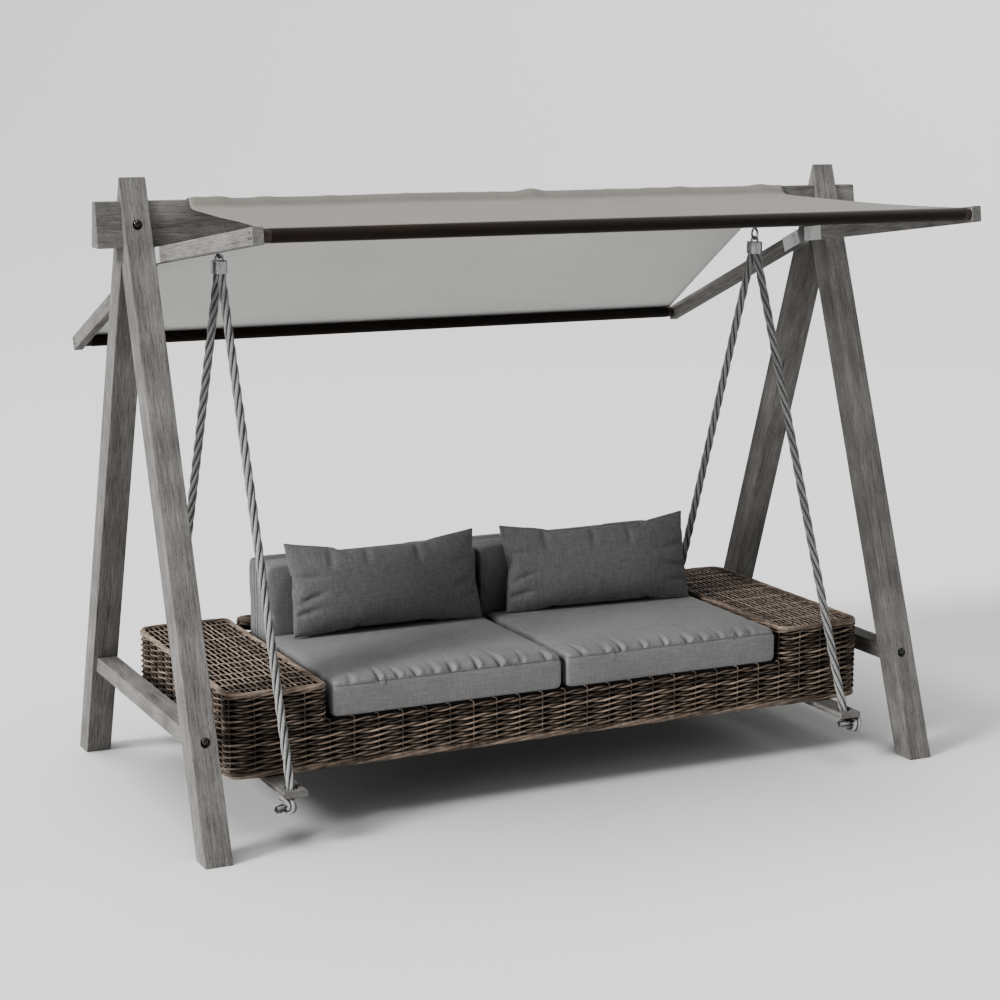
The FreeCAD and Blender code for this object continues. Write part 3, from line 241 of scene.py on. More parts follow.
@dataclass(frozen=True)
class WeatheredTimber(Finish):
    """Grey, brushed softwood that has stood outdoors."""

    grain: Grain
    tilt: float = 0.0
    dark: Colour = (0.070, 0.066, 0.062)
    middle: Colour = (0.190, 0.184, 0.177)
    light: Colour = (0.320, 0.313, 0.303)

    def paint(self, graph: Graph) -> bpy.types.Material:
        """Streaks, growth bands, weathered patches and fine cracks along the grain."""
        turned = graph.mapped(graph.place(), rotation=(self.tilt, 0, 0))
        streak = graph.noise(graph.mapped(turned, self.grain.stretch(230, 14)), 1.0, 5)
        fleck = graph.noise(graph.mapped(turned, self.grain.stretch(420, 48)), 1.0, 2)
        band = graph.noise(graph.mapped(turned, self.grain.stretch(30, 1.6)), 1.0, 4, 0.7)
        patch = graph.noise(turned, 6.0, 4)
        crack = graph.noise(graph.mapped(turned, self.grain.stretch(95, 3.0)), 1.0, 2).step(0.66, 0.74)
        pore = fleck.step(0.56, 0.7)
        tone = streak * 0.36 + band * 0.2 + patch * 0.3 + fleck * 0.2 - 0.03 - crack * 0.1 - pore * 0.12
        colour = graph.ramp(tone, [(0.3, self.dark), (0.5, self.middle), (0.7, self.light)])
        relief = streak * 0.45 + band * 0.2 - crack * 0.5 - pore * 0.35
        rough = 0.9 - tone * 0.25
        return graph.surface(
            {"Base Color": colour, "Roughness": rough, "Normal": graph.bump(relief, 0.0022)},
            {"Specular IOR Level": 0.3},
        )


@dataclass(frozen=True)
class Linen(Finish):
    """Plain-woven cloth with slubs both ways."""

    dark: Colour
    light: Colour
    slub: float = 1.0

    def paint(self, graph: Graph) -> bpy.types.Material:
        """Thick and thin threads both ways, over a slow change of tone."""
        place = graph.place()
        warp = graph.noise(graph.mapped(place, (240, 22, 22)), 1.0, 4)
        weft = graph.noise(graph.mapped(place, (22, 240, 240)), 1.0, 4)
        fine_warp = graph.noise(graph.mapped(place, (900, 60, 60)), 1.0, 2)
        fine_weft = graph.noise(graph.mapped(place, (60, 900, 900)), 1.0, 2)
        slow = graph.noise(place, 4.0, 2)
        threads = (warp + weft) * 0.32 + (fine_warp + fine_weft) * 0.18
        share = ((threads - 0.5) * (1.9 * self.slub) + (slow - 0.5) * 0.35 + 0.5).step(0.0, 1.0)
        colour = graph.mix(share, self.dark, self.light)
        return graph.surface(
            {"Base Color": colour, "Normal": graph.bump(threads, 0.0011)},
            {"Roughness": 0.92, "Specular IOR Level": 0.2, "Sheen Weight": 0.12, "Sheen Roughness": 0.6},
        )


@dataclass(frozen=True)
class Rattan(Finish):
    """Woven strands of brown, weathered cane."""

    dark: Colour = (0.040, 0.031, 0.025)
    light: Colour = (0.430, 0.345, 0.280)

    def paint(self, graph: Graph) -> bpy.types.Material:
        """A tone for each strand, mottling along it and fine ribs round it, with painted shade where a strand lies
        behind others.
        """
        place = graph.place()
        mottle = graph.noise(place, 38.0, 4)
        ribs = (graph.attribute("around") * (2 * math.pi * 7) + mottle * 3.0).sine()
        share = graph.attribute("tone") * 0.4 + mottle * 0.62 + ribs * 0.05 - 0.08
        # Painted shade: the shade kept on each point darkens the strand, down to 0.3 of its colour.
        painted_shade = graph.attribute("shade").step(0.0, 0.8) * 0.7 + 0.3
        colour = graph.mix(share.step(0.05, 0.95) * painted_shade, self.dark, self.light)
        relief = ribs * 0.3 + graph.noise(place, 240.0, 2)
        return graph.surface(
            {"Base Color": colour, "Roughness": 0.62 - mottle * 0.22, "Normal": graph.bump(relief, 0.0006)},
            {"Specular IOR Level": 0.42},
        )


@dataclass(frozen=True)
class RopeFibre(Finish):
    """Laid rope of pale grey yarn."""

    dark: Colour = (0.060, 0.060, 0.058)
    light: Colour = (0.440, 0.442, 0.436)

    def paint(self, graph: Graph) -> bpy.types.Material:
        """Yarns that wind round each strand against its lay, with painted shade in the grooves between strands."""
        turn = graph.attribute("around") * (2 * math.pi * 9) - graph.attribute("along") * (2 * math.pi * 26)
        yarn = turn.sine() * 0.5 + 0.5
        fuzz = graph.noise(graph.place(), 190.0, 4)
        # Painted shade: points near the rope's line, down in the grooves between strands, are darkened.
        groove = graph.attribute("shade").step(0.62, 0.93)
        share = yarn * 0.22 + fuzz * 0.4 + graph.attribute("tone") * 0.14 + 0.12
        return graph.surface(
            {
                "Base Color": graph.mix(share.step(0.1, 0.85) * groove, self.dark, self.light),
                "Normal": graph.bump(yarn * 0.7 + fuzz * 0.4, 0.0009),
            },
            {"Roughness": 0.88, "Specular IOR Level": 0.25},
        )


@dataclass(frozen=True)
class Metal(Finish):
    """Bare or coated metal with fine brushing and handling marks."""

    colour: Colour
    metallic: float
    roughness: float
    spread: float = 0.3

    def paint(self, graph: Graph) -> bpy.types.Material:
        """A tone that wanders a little, with roughness to match."""
        place = graph.place()
        brushed = graph.noise(graph.mapped(place, (420, 420, 12)), 1.0, 2)
        marks = graph.noise(place, 55.0, 4)
        tone = brushed * 0.4 + marks * 0.6
        dark = tuple(value * (1 - self.spread) for value in self.colour)
        light = tuple(min(1.0, value * (1 + self.spread)) for value in self.colour)
        return graph.surface(
            {
                "Base Color": graph.mix(tone.step(0.25, 0.75), dark, light),
                "Roughness": self.roughness + (marks - 0.5) * 0.3,
                "Normal": graph.bump(brushed, 0.00012),
            },
            {"Metallic": self.metallic},
        )


LEG_TILT = math.atan2(0.735, 2.095)
RAFTER_TILT = {"front": math.radians(7.2), "rear": math.radians(21.4)}
BEAM_TIMBER = WeatheredTimber("beam_timber", Grain.ALONG_X)
LEVEL_TIMBER = WeatheredTimber("level_timber", Grain.ALONG_Y)
CUSHION_LINEN = Linen("cushion_linen_weave", (0.148, 0.149, 0.149), (0.256, 0.257, 0.255))
PILLOW_LINEN = Linen("pillow_linen_weave", (0.098, 0.099, 0.099), (0.190, 0.191, 0.190), 1.15)
SEAM_LINEN = Linen("seam_linen", (0.115, 0.116, 0.116), (0.190, 0.191, 0.190))
CANOPY_LINEN = Linen("canopy_linen_top", (0.165, 0.156, 0.142), (0.225, 0.214, 0.196), 0.6)
# Painted light: the underside is a much lighter copy of the same linen, standing in for light through the thin sheet.
CANOPY_UNDERSIDE_PAINTED_LIGHT = Linen("canopy_underside_painted_light", (0.56, 0.555, 0.54), (0.70, 0.695, 0.68), 0.5)
CANE = Rattan("weathered_cane")
# Painted light: a lighter copy of the cane for the arm tops and rims, which face the light.
PAINTED_LIGHT_CANE = Rattan("painted_light_cane", (0.125, 0.098, 0.080), (0.500, 0.405, 0.335))
# Painted shade: near-black cloth that stands in for the shadowed inside of the sofa, seen through the weave.
PAINTED_SHADE_LINER = Linen("dark_backing_cloth", (0.010, 0.008, 0.007), (0.022, 0.018, 0.015))
ROPE_YARN = RopeFibre("grey_rope_yarn")
BRIGHT_STEEL = Metal("brushed_steel", (0.36, 0.367, 0.372), 1.0, 0.30, 0.16)
STRAP_STEEL = Metal("zinc_strap", (0.62, 0.622, 0.618), 0.45, 0.48, 0.07)
BOLT_STEEL = Metal("polished_bolt", (0.72, 0.725, 0.73), 1.0, 0.18, 0.08)
DARK_STEEL = Metal("blackened_steel", (0.085, 0.082, 0.078), 0.9, 0.24, 0.15)
BAR_SLEEVE = Linen("dark_brown_sleeve", (0.010, 0.006, 0.004), (0.024, 0.015, 0.010))
BAR_METAL = Metal("grey_brown_tube", (0.060, 0.047, 0.040), 0.3, 0.5)
DECK_BOARD = WeatheredTimber(
    "dark_deck_board", Grain.ALONG_Y, 0.0, (0.020, 0.015, 0.012), (0.040, 0.031, 0.025), (0.060, 0.047, 0.038)
)
FRAME_PAINT = Metal("brown_powder_coat", (0.030, 0.022, 0.017), 0.1, 0.55)


# Mesh helpers

@functools.cache
def room(node: str) -> tuple[Vector, Vector]:
    """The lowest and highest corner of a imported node."""
    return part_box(node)


def add_piece(name: str, mesh: bpy.types.Mesh, finishes: Sequence[Finish], body: str) -> bpy.types.Object:
    """Puts a finished mesh in the scene on its body.

    Args:
        name: the piece's name.
        mesh: its mesh, already in place.
        finishes: a finish for each material index.
        body: the body that it rides on.

    Returns:
        The new object.
    """
    mesh.name = name
    mesh.materials.clear()
    for finish in finishes:
        mesh.materials.append(finish.material())
    piece = bpy.data.objects.new(name, mesh)
    bpy.context.scene.collection.objects.link(piece)
    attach(piece, body)
    log.info("%s: %d faces on %s", name, len(mesh.polygons), body)
    return piece


def mesh_from(name: str, work: bmesh.types.BMesh, smooth: bool = True) -> bpy.types.Mesh:
    """Turns a bmesh into a mesh and frees it."""
    mesh = bpy.data.meshes.new(name)
    work.to_mesh(mesh)
    work.free()
    mesh.polygons.foreach_set("use_smooth", [smooth] * len(mesh.polygons))
    return mesh


def points_of(mesh: bpy.types.Mesh) -> np.ndarray:
    """A mesh's points, one row each."""
    flat = np.zeros(len(mesh.vertices) * 3, np.float32)
    mesh.vertices.foreach_get("co", flat)
    return flat.reshape(-1, 3)


def parallel_frames(points: Sequence[Vector]) -> list[tuple[Vector, Vector]]:
    """Two cross directions at each point of a line, turning as little as they can.

    Args:
        points: the line's points.

    Returns:
        A pair of unit vectors for each point.
    """
    frames = []
    cross = Vector((1.0, 0.0, 0.0))
    for index, point in enumerate(points):
        ahead = points[min(index + 1, len(points) - 1)] - points[max(index - 1, 0)]
        ahead.normalize()
        cross = cross - ahead * cross.dot(ahead)
        cross.normalize()
        frames.append((cross.copy(), ahead.cross(cross)))
    return frames


def evenly(points: Sequence[Vector], step: float) -> list[Vector]:
    """The points of a line at even distances.

    Args:
        points: the line's own points.
        step: about how far apart the new points are.

    Returns:
        The new points, with the same two ends.
    """
    line = np.array([tuple(point) for point in points])
    along = np.concatenate([[0.0], np.cumsum(np.linalg.norm(np.diff(line, axis=0), axis=1))])
    at = np.linspace(0.0, along[-1], max(2, round(along[-1] / step) + 1))
    return [Vector(place) for place in np.stack([np.interp(at, along, line[:, k]) for k in range(3)], 1)]


class StrandBundle:
    """Round strands drawn as splines, then turned into one mesh with a tone for each strand."""

    def __init__(self, name: str, sides: int, seed: int) -> None:
        """Starts an empty bundle whose strands have that many sides."""
        self.name = name
        self.curve = bpy.data.curves.new(name, "CURVE")
        self.curve.dimensions = "3D"
        self.curve.bevel_depth = 1.0
        self.curve.bevel_resolution = sides // 2 - 2
        self.curve_sides = sides // 2
        self.curve.use_fill_caps = True
        self.dice = random.Random(seed)
        self.tones: list[float] = []
        self.closed: list[bool] = []
        self.shades: list[np.ndarray] = []
        self.lengths: list[np.ndarray] = []

    def add(
        self, points: Sequence[Vector], radius: float, closed: bool = False, shade: Sequence[float] | None = None
    ) -> None:
        """Adds one strand.

        Args:
            points: the points down its middle.
            radius: its radius.
            closed: whether its end meets its start.
            shade: how much painted shade each point gets, from 0 (fully shaded) to 1 (in the open).
        """
        spline = self.curve.splines.new("POLY")
        spline.points.add(len(points) - 1)
        places = np.array([(*point, 1.0) for point in points])
        spline.points.foreach_set("co", places.ravel())
        spline.points.foreach_set("radius", [radius] * len(points))
        self.shades.append(np.array(shade if shade is not None else [1.0] * len(points)))
        spline.use_cyclic_u = closed
        steps = np.linalg.norm(np.diff(places[:, :3], axis=0), axis=1)
        self.lengths.append(np.concatenate([[0.0], np.cumsum(steps)]))
        self.tones.append(self.dice.random())
        self.closed.append(closed)

    def mesh(self) -> bpy.types.Mesh:
        """The bundle's mesh, with tone, along, around and painted shade kept on its points."""
        holder = bpy.data.objects.new(self.name, self.curve)
        mesh = bpy.data.meshes.new_from_object(holder)
        bpy.data.objects.remove(holder)
        bpy.data.curves.remove(self.curve)
        counts = [len(length) for length in self.lengths]
        ring = 2 * self.curve_sides
        caps = [tone for tone, is_closed in zip(self.tones, self.closed) if not is_closed][::-1]
        values = {
            "tone": np.repeat(np.concatenate([np.repeat(caps, 2), np.repeat(self.tones, counts)]), ring),
            "along": np.repeat(np.concatenate([np.zeros(2 * len(caps)), *self.lengths]), ring),
            "shade": np.repeat(np.concatenate([np.ones(2 * len(caps)), *self.shades]), ring),
            "around": np.tile(np.arange(ring) / ring, 2 * len(caps) + sum(counts)),
        }
        for key, value in values.items():
            layer = mesh.attributes.new(key, "FLOAT", "POINT")
            layer.data.foreach_set("value", value.astype(np.float32))
        mesh.polygons.foreach_set("use_smooth", [True] * len(mesh.polygons))
        return mesh


# Ropes and hangers

@dataclass
class RopeSet:
    """Four laid ropes from the two hanger caps to their stopper knots under the slats."""

    diameter: float = 0.028
    strands: int = 4
    strand_radius: float = 0.0068
    fullness: float = 0.0153
    lay_length: float = 0.262
    ring_step: float = 0.006
    sides: int = 12
    exit_point: Triple = (1.034, -0.0154, 1.7743)
    run: tuple[Triple, ...] = (
        (1.0339, -0.0123, 1.7823),
        (1.0466, -0.5786, 0.3394),
        (1.0480, -0.6400, 0.1830),
    )
    knot_top: Triple = (1.0481, -0.6439, 0.1730)
    knots: dict[str, tuple[Triple, ...]] = None

    def __post_init__(self) -> None:
        """Lists the knots' control points, from under the slat to the tip of the tail."""
        self.knots = self.knots or {
            "left": (
                (0.000, 0.000, -0.008), (-0.002, 0.014, -0.022), (-0.006, 0.029, -0.036),
                (-0.012, 0.020, -0.048), (-0.014, -0.010, -0.0490), (-0.012, -0.034, -0.041),
                (-0.011, -0.040, -0.026), (-0.018, -0.025, -0.0145), (-0.027, 0.002, -0.0145),
                (-0.026, 0.022, -0.024), (-0.018, 0.016, -0.034), (-0.026, -0.002, -0.034),
                (-0.044, -0.013, -0.037), (-0.058, -0.018, -0.040),
            ),
            "right": (
                (0.000, 0.000, -0.008), (0.008, 0.012, -0.020), (0.019, 0.027, -0.034),
                (0.025, 0.019, -0.048), (0.025, -0.010, -0.0490), (0.027, -0.035, -0.041),
                (0.031, -0.041, -0.027), (0.040, -0.028, -0.0145), (0.043, -0.002, -0.0145),
                (0.034, 0.014, -0.024), (0.016, 0.004, -0.034), (-0.001, -0.022, -0.028),
                (-0.020, -0.028, -0.021), (-0.040, -0.026, -0.0175),
            ),
        }

    def route(self, side: int, end: int) -> list[Vector]:
        """The rope's control points; every knot has its tail on the left.

        Args:
            side: -1 for the left, 1 for the right.
            end: -1 for the front, 1 for the rear.

        Returns:
            Points from the hanger cap to the tip of the tail.
        """
        points = [Vector((side * x, -end * y, z)) for x, y, z in self.run]
        top = Vector(self.knot_top)
        start = Vector((side * top.x, -end * top.y, top.z))
        knot = self.knots["left" if side < 0 else "right"]
        return points + [start + Vector((x, -end * y, z)) for x, y, z in knot]

    def centre_line(self, points: Sequence[Vector]) -> list[Vector]:
        """Even points on the smooth spline that the control points draw."""
        curve = bpy.data.curves.new("rope_route", "CURVE")
        curve.dimensions = "3D"
        curve.resolution_u = 24
        spline = curve.splines.new("NURBS")
        spline.points.add(len(points) - 1)
        for control, point in zip(spline.points, points):
            control.co = (*point, 1.0)
        spline.order_u = 3
        spline.use_endpoint_u = True
        holder = bpy.data.objects.new("rope_route", curve)
        mesh = bpy.data.meshes.new_from_object(holder)
        line = [vertex.co.copy() for vertex in mesh.vertices]
        bpy.data.meshes.remove(mesh)
        bpy.data.objects.remove(holder)
        bpy.data.curves.remove(curve)
        return evenly(line, self.ring_step)

    def laid(self, line: Sequence[Vector], name: str, side: int) -> bpy.types.Mesh:
        """The rope's strands, wound round its line; left and right ropes are wound opposite ways."""
        bundle = StrandBundle(name, self.sides, len(name))
        offset = self.fullness - self.strand_radius
        frames = parallel_frames(line)
        for strand in range(self.strands):
            points = []
            for index, (point, (across, beside)) in enumerate(zip(line, frames)):
                turn = index * self.ring_step / self.lay_length + strand / self.strands
                angle = -2 * math.pi * turn * side
                points.append(point + (across * math.cos(angle) + beside * math.sin(angle)) * offset)
            bundle.add(points, self.strand_radius)
        mesh = bundle.mesh()
        self.mark_grooves(mesh, line)
        return mesh

    def mark_grooves(self, mesh: bpy.types.Mesh, line: Sequence[Vector]) -> None:
        """Keeps on each point how far it stands out from the rope's line, as its shade; the rope finish paints shade
        into the grooves from it.
        """
        ends = [line[-1]] * self.sides + [line[0]] * self.sides
        body = [point for point in line for _ in range(self.sides)]
        middles = np.array([tuple(point) for point in ends * self.strands + body * self.strands])
        out = np.linalg.norm(points_of(mesh) - middles, axis=1) / self.fullness
        mesh.attributes["shade"].data.foreach_set("value", out.astype(np.float32))

    def build(self) -> None:
        """Makes the four ropes in place of their plain solids."""
        for side_name, side in SIDES.items():
            for end_name, end in ENDS.items():
                line = self.centre_line(self.route(side, end))
                name = f"laid_rope_{end_name}_{side_name}"
                piece = add_piece(name, self.laid(line, name, side), [ROPE_YARN], "seat")
                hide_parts(f"rope_{end_name}_{side_name}")


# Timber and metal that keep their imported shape

@dataclass
class PackedPieces:
    """Nodes whose shape is right as packed, each with the finish that it takes."""

    def finishes(self) -> dict[str, Finish]:
        """A finish for each node that shows."""
        made: dict[str, Finish] = {"ridge_beam": BEAM_TIMBER, "deck_slats": DECK_BOARD}
        for end_name, end in ENDS.items():
            leg = WeatheredTimber(f"{end_name}_leg_timber", Grain.ALONG_Z, -end * LEG_TILT)
            rafter = WeatheredTimber(f"{end_name}_rafter_timber", Grain.ALONG_Y, RAFTER_TILT[end_name])
            made[f"canopy_bar_{end_name}"] = BAR_METAL
            for side_name in SIDES:
                made[f"leg_{end_name}_{side_name}"] = leg
                made[f"rafter_{end_name}_{side_name}"] = rafter
                made[f"rafter_shoe_{end_name}_{side_name}"] = STRAP_STEEL
        for side_name in SIDES:
            made[f"brace_{side_name}"] = LEVEL_TIMBER
            made[f"carrier_slat_{side_name}"] = LEVEL_TIMBER
            made[f"eye_bolt_{side_name}"] = BRIGHT_STEEL
            made[f"hanger_cap_{side_name}"] = BRIGHT_STEEL
            made[f"arm_ring_{side_name}"] = FRAME_PAINT
        for name in ("ridge_bolts", "brace_bolts", "nuts_and_washers", "canopy_bar_screws"):
            made[name] = DARK_STEEL
        for name in ("brace_barrel_nuts", "slat_screws", "rafter_shoe_bolts"):
            made[name] = BOLT_STEEL
        for name in ("sofa_rails", "sofa_cross_tubes", "sofa_posts"):
            made[name] = FRAME_PAINT
        return made

    def dress(self) -> None:
        """Gives each node its finish."""
        for name, finish in self.finishes().items():
            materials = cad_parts[name].data.materials
            materials.clear()
            materials.append(finish.material())
            log.info("%s: %s", name, finish.name)


# Canopy

@dataclass
class Canopy:
    """One linen sheet from bar to bar over the ridge beam, with a lighter underside that is painted light, and the
    dark sleeves round the bars.
    """

    across: int = 150
    along: int = 60
    thickness: float = 0.0022
    lift: float = 0.0006
    draw_in: float = 0.091
    front_sag: float = 0.007
    rear_sag: float = 0.016
    ridge_drop: float = 0.030
    ridge_half: float = 0.017
    drop_run: float = 0.010
    wrinkle: float = 0.012
    bare_bar_end: float = 0.026
    sleeve_wall: float = 0.0009

    def profile(self, share: float) -> tuple[float, float]:
        """Y and Z of the sheet's underside, from the front bar at 0 to the rear bar at 1."""
        front_low, front_high = room("canopy_bar_front")
        rear_low, rear_high = room("canopy_bar_rear")
        ridge = room("ridge_beam")[1].z + self.lift
        front = ((front_low.y + front_high.y) / 2, front_high.z + self.lift)
        rear = ((rear_low.y + rear_high.y) / 2, rear_high.z + self.lift)
        if share < 0.5:
            reach = 1 - share * 2
            bar, sag = front, self.front_sag
        else:
            reach = share * 2 - 1
            bar, sag = rear, self.rear_sag
        bow = 4 * reach * (1 - reach)
        past = max(0.0, abs(bar[0]) * reach - self.ridge_half) / self.drop_run
        drop = self.ridge_drop if share < 0.5 else 0.3 * self.ridge_drop
        lip = drop * (1 - math.exp(-past)) * (1 - reach)
        return bar[0] * reach, ridge + (bar[1] - ridge) * reach - sag * bow - lip

    def half_width(self, y: float) -> float:
        """Half the sheet's width at a place along it, drawn in at the ridge."""
        low, high = room("canopy_sheet")
        reach = y / (high.y if y > 0 else low.y)
        return high.x - self.draw_in * (1 - reach * reach)

    def build(self) -> None:
        """Makes the sheet and the sleeves."""
        work = bmesh.new()
        bmesh.ops.create_grid(work, x_segments=self.across, y_segments=self.along, size=1.0)
        for vertex in work.verts:
            near = abs(vertex.co.y) ** 1.8
            y, z = self.profile((math.copysign(near, vertex.co.y) + 1) / 2)
            x = vertex.co.x * self.half_width(y)
            ridge = math.exp(-(y / 0.045) ** 2)
            free = min(1.0, abs(abs(vertex.co.y) - 1) * 6)
            wave = noise.noise(Vector((x * 5.2, y * 1.2, 3.0))) + 0.5 * noise.noise(Vector((x * 13, y * 3, 9.0)))
            slack = noise.noise(Vector((x * 1.6, y * 2.4, 20.0)))
            lift = self.wrinkle * (max(0.0, wave) * (0.15 + ridge) + 0.35 * slack) * free
            vertex.co = Vector((x, y, z + max(lift, 0.0)))
        bmesh.ops.recalc_face_normals(work, faces=work.faces)
        if sum(face.normal.z for face in work.faces) < 0:
            bmesh.ops.reverse_faces(work, faces=work.faces)
        piece = add_piece("canopy_linen_sheet", mesh_from("sheet", work), [CANOPY_LINEN, CANOPY_UNDERSIDE_PAINTED_LIGHT], "frame")
        wall = piece.modifiers.new("thickness", "SOLIDIFY")
        wall.thickness = self.thickness
        wall.offset = 1.0
        wall.use_rim = True
        # The solidified underside takes the lighter copy of the linen: painted light.
        wall.material_offset = 1
        wall.material_offset_rim = 0
        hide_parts("canopy_sheet")
        for end_name in ENDS:
            self.sleeve(end_name)

    def sleeve(self, end_name: str) -> None:
        """A thin dark sleeve over a bar, bare for a little at each end."""
        low, high = room(f"canopy_bar_{end_name}")
        radius = (high.z - low.z) / 2 + self.sleeve_wall
        half = high.x - self.bare_bar_end
        work = bmesh.new()
        turn = Matrix.Rotation(math.pi / 2, 4, "Y")
        bmesh.ops.create_cone(
            work, cap_ends=True, segments=40, radius1=radius, radius2=radius, depth=2 * half, matrix=turn
        )
        rims = [edge for edge in work.edges if abs(edge.verts[0].co.x - edge.verts[1].co.x) < 1e-6]
        bmesh.ops.bevel(
            work, geom=rims, offset=0.0006, segments=1, profile=0.5, affect="EDGES", material=-1
        )
        bmesh.ops.translate(work, verts=work.verts, vec=(low + high) / 2)
        piece = add_piece(f"bar_sleeve_{end_name}", mesh_from("sleeve", work), [BAR_SLEEVE], "frame")


# Woven sofa

@dataclass
class RoundPlan:
    """A closed plan with round corners, walked to the right as seen from outside it."""

    low: Vector
    high: Vector
    left_corner: float
    right_corner: float
    inset: float

    def __post_init__(self) -> None:
        """Works out the straight and round stretches, starting in the middle of the front."""
        x0, x1 = self.low.x + self.inset, self.high.x - self.inset
        y0, y1 = self.low.y + self.inset, self.high.y - self.inset
        left, right = self.left_corner - self.inset, self.right_corner - self.inset
        middle = Vector(((x0 + x1) / 2, y0))
        corners = [((x1, y0), right), ((x1, y1), right), ((x0, y1), left), ((x0, y0), left)]
        self.stretches: list[tuple[float, Callable[[float], tuple[Vector, Vector]]]] = []
        here = middle
        heading = Vector((1.0, 0.0))
        for (x, y), radius in corners:
            turned = Vector((-heading.y, heading.x))
            stop = Vector((x, y)) - heading * radius
            self.add_straight(here, stop)
            self.add_round(stop, heading, turned, radius)
            here = Vector((x, y)) + turned * radius
            heading = turned
        self.add_straight(here, middle)
        self.length = sum(length for length, _ in self.stretches)

    def add_straight(self, start: Vector, stop: Vector) -> None:
        """Adds a straight stretch between two plan points."""
        run = stop - start
        ahead = run.normalized()
        outward = Vector((ahead.y, -ahead.x))
        self.stretches.append((run.length, lambda s: (start + ahead * s, outward)))

    def add_round(self, start: Vector, heading: Vector, turned: Vector, radius: float) -> None:
        """Adds a quarter turn to the left of the heading."""
        centre = start + turned * radius

        def place(s: float) -> tuple[Vector, Vector]:
            """A point of the quarter turn and the direction out of it."""
            angle = s / radius
            outward = heading * math.sin(angle) - turned * math.cos(angle)
            return centre + outward * radius, outward

        self.stretches.append((radius * math.pi / 2, place))

    def at(self, s: float) -> tuple[Vector, Vector]:
        """The plan point at a distance along the plan, and the direction out of it."""
        s %= self.length
        for length, place in self.stretches:
            if s <= length:
                break
            s -= length
        point, outward = place(min(s, length))
        return point.to_3d(), outward.to_3d()


@dataclass
class Station:
    """A place along a row of weave: its point, the way out of the surface, the way across, and its stake count."""

    point: Vector
    outward: Vector
    across: Vector
    stakes: float


@dataclass
class Twining:
    """Pairs of strands that twist half a turn from each stake to the next."""

    strand: float = 0.0040
    depth: float = 0.0046
    rise: float = 0.0051
    steps: int = 7
    stake: float = 0.0028

    def row(self, bundle: StrandBundle, stations: Sequence[Station], closed: bool) -> None:
        """Adds one row's two strands.

        Args:
            bundle: takes the strands.
            stations: places along the row.
            closed: whether the row meets its own start.
        """
        for sign in (1, -1):
            radius = self.strand * bundle.dice.uniform(0.93, 1.05)
            points = []
            shade = []
            for station in stations:
                turn = math.pi * station.stakes
                out = station.outward * (sign * self.depth * math.cos(turn))
                side = station.across * (sign * self.rise * math.sin(turn))
                points.append(station.point + out + side)
                # Painted shade: each strand is lighter where it comes to the front and darker where it turns behind
                # its partner.
                shade.append(0.5 + 0.5 * sign * math.cos(turn))
            bundle.add(points, radius, closed, shade)


